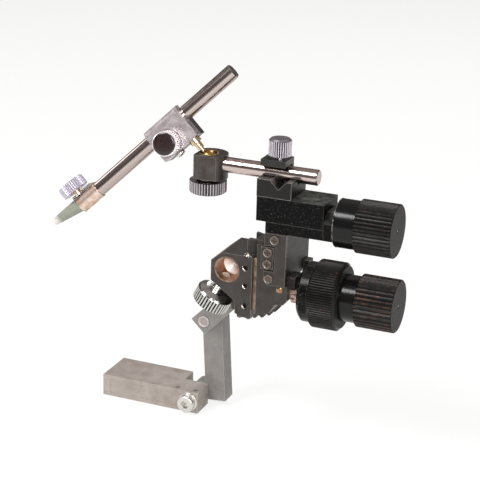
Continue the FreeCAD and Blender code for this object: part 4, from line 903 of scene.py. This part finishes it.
@dataclass
class Body(Assembly):
    """The body block, its bore, gib, screws and the notched disc behind it."""

    block: Finish = MilledSteel("blackened_body_steel", tone="#3b3734", blotch="#2a2725", metallic=0.5,
                                roughness=0.42, wear="#b0a89e", wear_share=1.0)
    disc: Finish = MilledSteel("blackened_disc_steel", tone="#4a4541", blotch="#2e2b28", metallic=0.6,
                               roughness=0.45, wear="#9a9188")
    gib: Finish = CastBrass("bronze_gib", tone="#a08872", tarnish="#5e4d40", roughness=0.45)
    screw: Finish = DrawnRod("socket_screw_steel", tone="#6d655e", roughness=0.3, along=Axis.Y.value)
    # near black heads on the gib screws: painted shade, so that they read as dark holes
    hole: Finish = DrawnRod("shade_dark_screw_steel", tone="#2c2724", roughness=0.3, along=Axis.Y.value)
    bright: Finish = DrawnRod("bright_screw_steel", tone="#c9c3bc", roughness=0.2, along=Axis.Z.value)
    # a bright crescent on one side of each gib screw: a painted highlight
    glint_crescent: GlintCrescent = GlintCrescent(1.5, 0.85, 0.12, (-1.0, 0.0, -0.8))
    strip_y_mm: Span = (-1.1, 2.0)
    strip_ends_mm: Span = (3.9, -0.3)
    strip_x_mm: Span = (-0.1, 1.9)
    seat_mm: Profile = ((1.65, -0.2), (2.6, -0.2), (2.65, 0.1), (2.4, 0.3), (1.9, 0.1), (1.65, 0.0))

    def build(self) -> None:
        """Dress the body's nodes, and add painted highlights as bright crescents by the gib screws, the gib's
        edge and the top screw's seat.
        """
        dress(["body_block"], self.block, Edge.BROKEN)
        dress(["tilt_disc", "tilt_index_key"], self.disc, Edge.CRISP)
        dress(["gib", "coarse_rack"], self.gib)
        dress(["tilt_bolt", "toe_screw_left", "toe_screw_right"], self.screw)
        for name in ("gib_screw_high", "gib_screw_middle", "gib_screw_low"):
            dress([name], self.hole)
            # painted highlight: a bright crescent on the lower left of each gib screw
            new_piece(name + "_rim", self.glint_crescent.mesh(face_of(name, FRONT), FRONT), self.bright, carrier(name))
        self.gib_edge()
        top = face_of("top_screw", Axis.Z.vector)
        top.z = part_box("body_block")[1][2]
        seat = turned(self.seat_mm, top, Axis.Z.vector, Sides.SMALL)
        new_piece("top_screw_seat", seat, self.bright, "main_body")
        dress(["top_screw"], self.bright)
        dress(["bore_bush"], ReamedBore("reamed_bronze_bore", tone="#b17a50", centre=self.places.bore))
        # the groove colour is painted shade in the knurl's grooves
        knurl = PlatedKnurl("nickel_clamp_knurl", tone="#c6c6c0", groove_shade="#1a1a19", radius_mm=9.8,
                            roughness=0.14, centre=self.places.centre("bore_clamp_turn"),
                            axis=tuple(self.places.axis("bore_clamp_turn")))
        dress(["bore_clamp_screw"], knurl)

    def gib_edge(self) -> None:
        """The gib's edge, which shows between the body and the carriage."""
        low, high = (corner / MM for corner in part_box("gib"))
        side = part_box("body_block")[1].x / MM
        front, back = (low.y + step for step in self.strip_y_mm)
        foot, head = low.z + self.strip_ends_mm[0], high.z + self.strip_ends_mm[1]
        outline = ((front, foot), (back, foot), (back, head), (front, head))
        across = (side + self.strip_x_mm[0], side + self.strip_x_mm[1])
        new_piece("gib_strip", slab(outline, across), self.gib, "main_body", smooth=False)


@dataclass
class Carriage(Assembly):
    """The carriage, its plates and the stationary parts of the drive."""

    block: Finish = MilledSteel("blackened_carriage_steel", tone="#383431", blotch="#262321", metallic=0.5,
                                roughness=0.42, wear="#9a9086", wear_share=0.8)
    plate: Finish = MilledSteel("blackened_plate_steel", tone="#3b3632", blotch="#272422", metallic=0.55,
                                roughness=0.38, wear="#b5aca2", wear_share=0.9)
    column: Finish = MilledSteel("grey_green_column_steel", tone="#2b2b24", blotch="#1f1f1a", metallic=0.5,
                                 roughness=0.45, wear="#a8a79d", wear_share=0.9)
    cover: Finish = SpeckledPaint("black_cover_paint", tone="#1c1516", roughness=0.4, speck="#3c3436",
                                  dust_share=0.08)
    brass: Finish = CastBrass("yellow_brass", tone="#c09a72", tarnish="#5a4030")
    collar: Finish = CastBrass("dull_collar_brass", tone="#c2aa9b", tarnish="#6a5448", roughness=0.34)
    # bright steel for the painted highlight crescents on the plate screws
    rim: Finish = DrawnRod("painted_glint_steel", tone="#a0958d", roughness=0.25, along=Axis.Y.value)
    lip: Finish = DrawnRod("dull_lip_steel", tone="#756a62", roughness=0.35, along=Axis.Y.value)
    black: Finish = SpeckledPaint("gloss_black_lacquer", tone="#0b0b0b", roughness=0.22, speck="#33332f",
                                  speck_mm=1.4, dust_share=0.12)
    plate_screws: tuple[str, ...] = ("stop_screw_upper", "stop_screw_lower", "limit_screw_upper",
                                     "limit_screw_lower")
    lip_mm: Profile = ((1.7, -0.1), (2.28, -0.1), (2.3, 0.02), (2.12, 0.14), (1.85, 0.12), (1.7, 0.0))
    # a bright crescent on one side of each plate screw: a painted highlight
    glint: GlintCrescent = GlintCrescent(2.25, 0.32, 0.2, (-1.0, 0.0, -0.6))
    cover_gap_mm: float = 0.15
    cover_set_back_mm: float = 0.25
    cover_width_mm: float = 4.4
    cover_depth_mm: float = 10.0
    cover_rise_mm: float = 2.7
    cover_drop_mm: float = 4.0
    cover_slant_mm: float = 0.7

    def build(self) -> None:
        """Dress the carriage's nodes, and add the screws' lips, painted highlights as bright crescents on the
        screws, and the drive's cover.
        """
        dress(["carriage_block"], self.block, Edge.BROKEN)
        dress(["stop_plate", "limit_plate"], self.plate, Edge.CRISP)
        dress(["column"], self.column, Edge.BROKEN)
        dress([*self.plate_screws, "coarse_shaft", "fine_sleeve", "fine_screw"], SCREW_STEEL)
        dress(["lock_plug", "thrust_plate"], self.brass)
        dress(["drag_collar"], self.collar)
        dress(["index_flange"], self.black, Edge.CRISP)
        for name in self.plate_screws:
            face = face_of(name, FRONT)
            lip = turned(self.lip_mm, face, FRONT, Sides.SMALL)
            new_piece(name + "_rim", lip, self.lip, carrier(name))
            new_piece(name + "_glint", self.glint.mesh(face, FRONT), self.rim, carrier(name))
        self.drive_cover()

    def drive_cover(self) -> None:
        """The cover over the drag collar, beside the column."""
        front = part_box("carriage_block")[0].y / MM + self.cover_set_back_mm
        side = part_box("limit_plate")[1].x / MM + self.cover_gap_mm
        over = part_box("drag_collar")[1].z / MM + self.cover_gap_mm
        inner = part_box("drag_collar")[0].y / MM - self.cover_gap_mm
        back, top, foot = front + self.cover_depth_mm, over + self.cover_rise_mm, over - self.cover_drop_mm
        slant = self.cover_slant_mm
        outline = ((front, foot), (front, top - slant), (front + slant, top), (back - slant, top),
                   (back, top - slant), (back, over), (inner, over), (inner, foot))
        across = (side, side + self.cover_width_mm)
        new_piece("drive_cover", slab(outline, across), self.cover, "carriage_body", smooth=False)


@dataclass
class Knobs(Assembly):
    """The three black grips."""

    bright: Finish = DrawnRod("bright_centre_steel", tone="#d8d5d0", roughness=0.2, along=Axis.X.value)
    band: Finish = DrawnRod("rubbed_band_steel", tone="#8d8783", roughness=0.35, pit="#151414", pit_mm=2.6,
                            pit_start=0.5, along=Axis.X.value)
    cup_mm: Profile = ((0.0, -1.3), (0.95, -1.3), (0.95, -0.25), (0.85, -0.3), (0.0, -0.9))
    band_mm: Profile = ((-0.5, 0.1), (0.04, 0.1), (0.1, 0.3), (0.04, 0.5), (-0.5, 0.5))
    collar_mm: float = 0.6

    def build(self) -> None:
        """Dress the grips about their own axes, and add their centres and the rubbed band."""
        drive, cross = self.places.pivot("coarse_knob_turn"), self.places.pivot("cross_knob_turn")
        coarse = WornKnob("worn_coarse_grip", tone="#0c0b0b", centre=tuple(drive), face="#252421",
                          rub="#5b4030", rub_share=0.45)
        fine = WornKnob("worn_fine_grip", tone="#0b0b0a", centre=tuple(drive), radius_mm=17.5, face="#121211",
                        rub="#3a322c", rub_share=0.4)
        side = WornKnob("worn_cross_grip", tone="#0c0c0c", centre=tuple(cross), rub="#453a33", face="#242321",
                        rub_share=0.4)
        for name, finish in (("coarse_knob", coarse), ("fine_ring", fine), ("cross_knob", side)):
            dress([name], finish, Edge.CRISP)
        for name, axis in (("coarse_knob", drive), ("cross_knob", cross)):
            end = Vector((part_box(name)[1].x, axis.y, axis.z))
            cup = turned(self.cup_mm, end, Axis.X.vector, Sides.TINY)
            new_piece(name + "_centre", cup, self.bright, carrier(name))
        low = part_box("cross_knob")[0].x
        spots = [corner.co for corner in node("cross_knob").data.vertices]
        near = [spot for spot in spots if spot.x < low + self.collar_mm * MM]
        radius = max(math.hypot(spot.y - cross.y, spot.z - cross.z) for spot in near) / MM
        outline = tuple((radius + out, height) for out, height in self.band_mm)
        band = turned(outline, Vector((low, cross.y, cross.z)), Axis.X.vector, Sides.LARGE)
        new_piece("cross_knob_band", band, self.band, carrier("cross_knob"))


@dataclass
class CrossSlide(Assembly):
    """The cross slide, V block, clamp bridge and thumbscrew."""

    black: Finish = SpeckledPaint("speckled_black_paint", tone="#070708", roughness=0.4, sheen=0.07,
                                  speck="#33332f")
    vee: Finish = MilledSteel("browned_vee_steel", tone="#181614", blotch="#100e0d", metallic=0.5,
                              roughness=0.4, wear="#c9c3bb", wear_share=0.9)
    bridge: Finish = MilledSteel("dark_bridge_steel", tone="#2b2a28", blotch="#1d1b1a", metallic=0.5,
                                 roughness=0.3, wear="#8e8983")

    def build(self) -> None:
        """Dress the cross slide's nodes."""
        dress(["slide_base", "end_plate", "upper_slide"], self.black, Edge.BROKEN)
        dress(["vee_block"], self.vee, Edge.BROKEN)
        dress(["clamp_bridge"], self.bridge, Edge.CRISP)
        dress(["lead_screw"], SCREW_STEEL)
        # the groove colour is painted shade in the knurl's grooves
        dress(["rod_thumbscrew"], PlatedKnurl("nickel_thumb_knurl", tone="#c9c3cb", radius_mm=5.8,
                                              groove_shade="#5f585e", centre=self.places.centre("thumbscrew_turn")))


@dataclass
class BallHead(Assembly):
    """The cross rod, socket block, ball and stud."""

    rod: Finish = DrawnRod("ground_cross_rod", tone="#b9aba6", pit_start=0.82, along=Axis.X.value)
    block: Finish = MilledSteel("browned_socket_steel", tone="#524c49", blotch="#352f2c", metallic=0.7,
                                roughness=0.32, wear="#c4bdb5")
    brass: Finish = CastBrass("polished_ball_brass", tone="#c49f5c", roughness=0.26)
    rim: Finish = CastBrass("worn_rim_brass", tone="#9c8456", tarnish="#5e5040", roughness=0.4)
    stud: Finish = CastBrass("worn_stud_brass", tone="#d6c5b0", tarnish="#a8874f", roughness=0.24)
    rim_mm: Profile = ((4.3, -0.3), (5.1, -0.3), (5.2, 0.05), (5.0, 0.2), (4.5, 0.2), (4.3, 0.05))
    boss_mm: Profile = ((3.8, 0.1), (6.2, 0.1), (6.2, -0.7), (5.6, -1.3), (3.8, -1.3))

    def build(self) -> None:
        """Dress the nodes, and add the mouth's rim and the boss above the nut."""
        dress(["cross_rod"], self.rod)
        dress(["socket_block"], self.block, Edge.CRISP)
        dress(["ball"], self.brass)
        dress(["ball_stud"], self.stud)
        low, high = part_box("socket_block")
        pivot = self.places.pivot("socket_nut_turn")
        mouth, under = (Vector((pivot.x, pivot.y, height)) for height in (high[2], low[2]))
        new_piece("mouth_rim", turned(self.rim_mm, mouth, Axis.Z.vector), self.rim, "socket_body")
        new_piece("nut_boss", turned(self.boss_mm, under, Axis.Z.vector), SCREW_STEEL, "socket_body")
        # the groove colour is painted shade in the knurl's grooves
        dress(["socket_nut"], PlatedKnurl("steel_nut_knurl", tone="#a8a1a4", radius_mm=9.6, groove_shade="#4f494c",
                                          centre=self.places.centre("socket_nut_turn")))


@dataclass
class RodClamp(Assembly):
    """The jaws, their thumbscrew and the long rod."""

    front: Finish = MilledSteel("bright_jaw_steel", tone="#beb5b7", blotch="#8f8486", blotch_mm=5.0,
                                metallic=0.75, roughness=0.3, wear="#ffffff")
    low_screw: Finish = DrawnRod("chromed_low_screw", tone="#cfcaca", roughness=0.18, along=Axis.X.value)
    cap: Finish = SpeckledPaint("brown_black_cap", tone="#231819", roughness=0.22, sheen=0.4, speck="#382a2b",
                                speck_mm=1.2, dust_share=0.0)
    rear: Finish = MilledSteel("browned_jaw_steel", tone="#393634", blotch="#252321", metallic=0.6,
                               roughness=0.4, wear="#8f8983")
    cap_sunk_mm: float = 0.25
    cap_mm: Profile = ((0.0, 0.0), (5.75, 0.0), (5.75, 0.3), (5.6, 0.5), (5.0, 0.68), (3.6, 0.82), (1.8, 0.9),
                       (0.0, 0.92))
    low_screw_mm: Profile = ((0.0, -0.1), (2.6, -0.1), (2.6, 1.5), (2.35, 2.0), (1.5, 2.25), (1.2, 2.25),
                             (1.2, 1.2), (0.0, 1.0))
    low_screw_uphill_mm: float = -0.9
    low_screw_ahead_mm: float = 1.0
    low_screw_down_mm: float = 6.3

    def build(self) -> None:
        """Dress the clamp's nodes, and add the thumbscrew's cap and the screw under the front jaw."""
        along = self.places.axis("tool_rod_slide")
        dress(["front_jaw"], self.front, Edge.SOFT)
        dress(["rear_jaw"], self.rear, Edge.CRISP)
        dress(["tool_rod"], DrawnRod("ground_tool_rod", tone="#aea19d", pit_start=0.84, along=tuple(along)))
        knob = self.places.pivot("jaw_screw_turn")
        ahead, down = self.places.axis("jaw_screw_turn"), self.places.axis("clamp_spin")
        ahead = ahead if ahead.y < 0 else -ahead
        down = down if down.z < 0 else -down
        face = knob + ahead * (reach("jaw_thumbscrew", knob, ahead) - self.cap_sunk_mm * MM)
        new_piece("jaw_knob_cap", turned(self.cap_mm, face, ahead), self.cap, "jaw_screw_body")
        head = knob + (along * self.low_screw_uphill_mm + ahead * self.low_screw_ahead_mm
                       + down * self.low_screw_down_mm) * MM
        screw = turned(self.low_screw_mm, head, down, Sides.SMALL)
        new_piece("jaw_low_screw", screw, self.low_screw, carrier("front_jaw"))
        # the groove colour is painted shade in the knurl's grooves
        knurl = PlatedKnurl("nickel_jaw_knurl", tone="#f7f3f5", radius_mm=6.3, depth_mm=0.4, groove_shade="#a39ba0",
                            metallic=0.6, centre=tuple(knob), axis=tuple(self.places.axis("jaw_screw_turn")))
        dress(["jaw_thumbscrew"], knurl)


@dataclass
class TipHolder(Assembly):
    """The sleeve, lug, knob and tapered tip."""

    brass: Finish = CastBrass("worn_sleeve_brass", tone="#d6c7bd", tarnish="#bd8e66", roughness=0.34)
    lug: Finish = MilledSteel("grey_lug_steel", tone="#a9a49d", blotch="#87827b", metallic=0.7,
                              roughness=0.35)
    root_mm: float = 7.0

    def build(self) -> None:
        """Dress the tip's nodes."""
        along = -self.places.axis("tip_roll")
        root = self.places.pivot("tip_roll") + along * self.root_mm * MM
        dress(["tip_sleeve", "tip_stud"], self.brass)
        dress(["tip_lug"], self.lug, Edge.CRISP)
        plastic = MouldedTip("grey_green_plastic", tone="#6d7066", root=tuple(root), along=tuple(along))
        dress(["tapered_tip"], plastic)
        # the groove colour is painted shade in the knurl's grooves
        knurl = PlatedKnurl("nickel_tip_knurl", tone="#bbb6c2", groove_shade="#918b9b", radius_mm=7.4, depth_mm=0.4,
                            metallic=0.5, roughness=0.34, centre=self.places.centre("tip_knob_turn"),
                            axis=tuple(self.places.axis("tip_knob_turn")))
        dress(["tip_knob"], knurl)


@dataclass(frozen=True)
class Lamp:
    """A round soft lamp: its name, place and width in metres, and its power in watts."""

    name: str
    place: Triple
    width: float
    power: float

    def light(self, target: Vector) -> None:
        """Put the lamp in the scene, turned to a spot.

        Args:
            target: the spot that it lights.
        """
        data = bpy.data.lights.new(self.name, "AREA")
        data.shape = "DISK"
        data.size = self.width
        data.energy = self.power
        lamp = bpy.data.objects.new(self.name, data)
        lamp.location = self.place
        lamp.rotation_euler = (target - Vector(self.place)).to_track_quat("-Z", "Y").to_euler()
        bpy.context.scene.collection.objects.link(lamp)


@dataclass
class Studio:
    """A pale floor, soft light and the camera at the photo's angle."""

    camera_place: Triple = (0.3274, -0.69575, 0.3625)
    yaw: float = 22.0
    pitch: float = 19.25
    roll: float = 1.73
    lens_mm: float = 111.75
    sensor_mm: float = 36.0
    clip_start: float = 0.01
    floor_size: float = 6.0
    floor_drop_mm: float = 0.2
    floor_tone: str = "#f2f2f0"
    floor_roughness: float = 0.9
    floor_white: float = 0.8
    floor_mirrored_white: float = 0.45
    lit_spot: Triple = (0.05, -0.02, 0.1)
    lamps: tuple[Lamp, ...] = (
        Lamp("key_lamp", (-0.45, -0.75, 1.1), 0.5, 15.0),
        Lamp("flash_lamp", (0.42, -0.85, 0.5), 0.3, 7.0),
        Lamp("fill_lamp", (0.95, -0.55, 0.5), 0.5, 3.0),
        Lamp("back_lamp", (0.1, 0.9, 0.95), 0.5, 5.0),
        Lamp("left_panel", (-1.0, 0.08, 0.42), 0.5, 2.2),
    )
    room_below: Triple = (0.5, 0.5, 0.48)
    room_above: Triple = (0.42, 0.38, 0.37)
    room_stops: Profile = ((0.46, 0.45), (0.52, 0.10), (0.70, 0.16), (0.86, 0.34))
    room_warmth: Triple = (1.0, 0.9, 0.87)

    def build(self) -> None:
        """Make the floor, the world, the lamps and the camera."""
        self.floor()
        self.world()
        for lamp in self.lamps:
            lamp.light(Vector(self.lit_spot))
        self.camera()

    def floor(self) -> None:
        """A pale floor that shows near white to the camera and keeps the shadow."""
        made = bmesh.new()
        bmesh.ops.create_grid(made, x_segments=1, y_segments=1, size=self.floor_size / 2)
        data = bpy.data.meshes.new("floor")
        made.to_mesh(data)
        made.free()
        floor = bpy.data.objects.new("floor", data)
        floor.location.z = -self.floor_drop_mm * MM
        bpy.context.scene.collection.objects.link(floor)
        material = bpy.data.materials.new("pale_floor")
        material.use_nodes = True
        tree = material.node_tree
        shader = tree.nodes["Principled BSDF"]
        shader.inputs["Base Color"].default_value = linear(self.floor_tone)
        shader.inputs["Roughness"].default_value = self.floor_roughness
        path = add(tree, "LightPath")
        mirrored = add(tree, "Math", {"operation": "MULTIPLY"},
                       {0: (path, "Is Glossy Ray"), 1: self.floor_mirrored_white})
        share = add(tree, "Math", {"operation": "MULTIPLY_ADD"},
                    {0: (path, "Is Camera Ray"), 1: self.floor_white, 2: (mirrored, "Value")})
        white = add(tree, "Emission", {}, {"Color": linear("#ffffff"), "Strength": 1.0})
        mix = add(tree, "MixShader", {}, {0: (share, "Value"), 1: (shader, "BSDF"), 2: (white, "Emission")})
        tree.links.new(mix.outputs[0], tree.nodes["Material Output"].inputs["Surface"])
        data.materials.append(material)

    def world(self) -> None:
        """White to the camera. To the object it is a soft room, darker at eye level than above."""
        world = bpy.data.worlds.new("soft_room")
        bpy.context.scene.world = world
        world.use_nodes = True
        tree = world.node_tree
        parts = add(tree, "SeparateXYZ", {}, {0: (add(tree, "TexCoord"), "Generated")})
        height = add(tree, "MapRange", {}, {"Value": (parts, "Z"), "From Min": -1.0})
        room = add(tree, "ValToRGB", {}, {"Fac": (height, "Result")})
        stops = room.color_ramp.elements
        for stop, position, colour in zip(stops, WHOLE, (self.room_below, self.room_above)):
            stop.position = position
            stop.color = (*colour, 1.0)
        for position, level in self.room_stops:
            stops.new(position).color = (*(level * warmth for warmth in self.room_warmth), 1.0)
        path = add(tree, "LightPath")
        tint = add(tree, "Mix", {"data_type": "RGBA"}, {0: (path, "Is Camera Ray"), 6: (room, "Color"),
                                                        7: linear("#ffffff")})
        tree.links.new(tint.outputs[2], tree.nodes["Background"].inputs["Color"])

    def camera(self) -> None:
        """The camera, at the place and angle worked out from the photo."""
        data = bpy.data.cameras.new("photo_camera")
        data.lens = self.lens_mm
        data.sensor_width = self.sensor_mm
        data.clip_start = self.clip_start
        camera = bpy.data.objects.new("photo_camera", data)
        turn = (
            Matrix.Rotation(math.radians(self.yaw), 4, "Z")
            @ Matrix.Rotation(math.radians(90 - self.pitch), 4, "X")
            @ Matrix.Rotation(math.radians(self.roll), 4, "Z")
        )
        camera.matrix_world = Matrix.Translation(self.camera_place) @ turn
        bpy.context.scene.collection.objects.link(camera)
        bpy.context.scene.camera = camera
        bpy.context.scene.view_settings.view_transform = "Standard"


def main() -> None:
    """Dress every sub-assembly and light it."""
    logging.basicConfig(level=logging.INFO, format="%(name)s: %(message)s")
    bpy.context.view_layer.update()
    places = Places()
    for kind in (SupportArm, Body, Carriage, Knobs, CrossSlide, BallHead, RodClamp, TipHolder):
        kind(places).build()
    Studio().build()


if __name__ == "__main__":
    main()
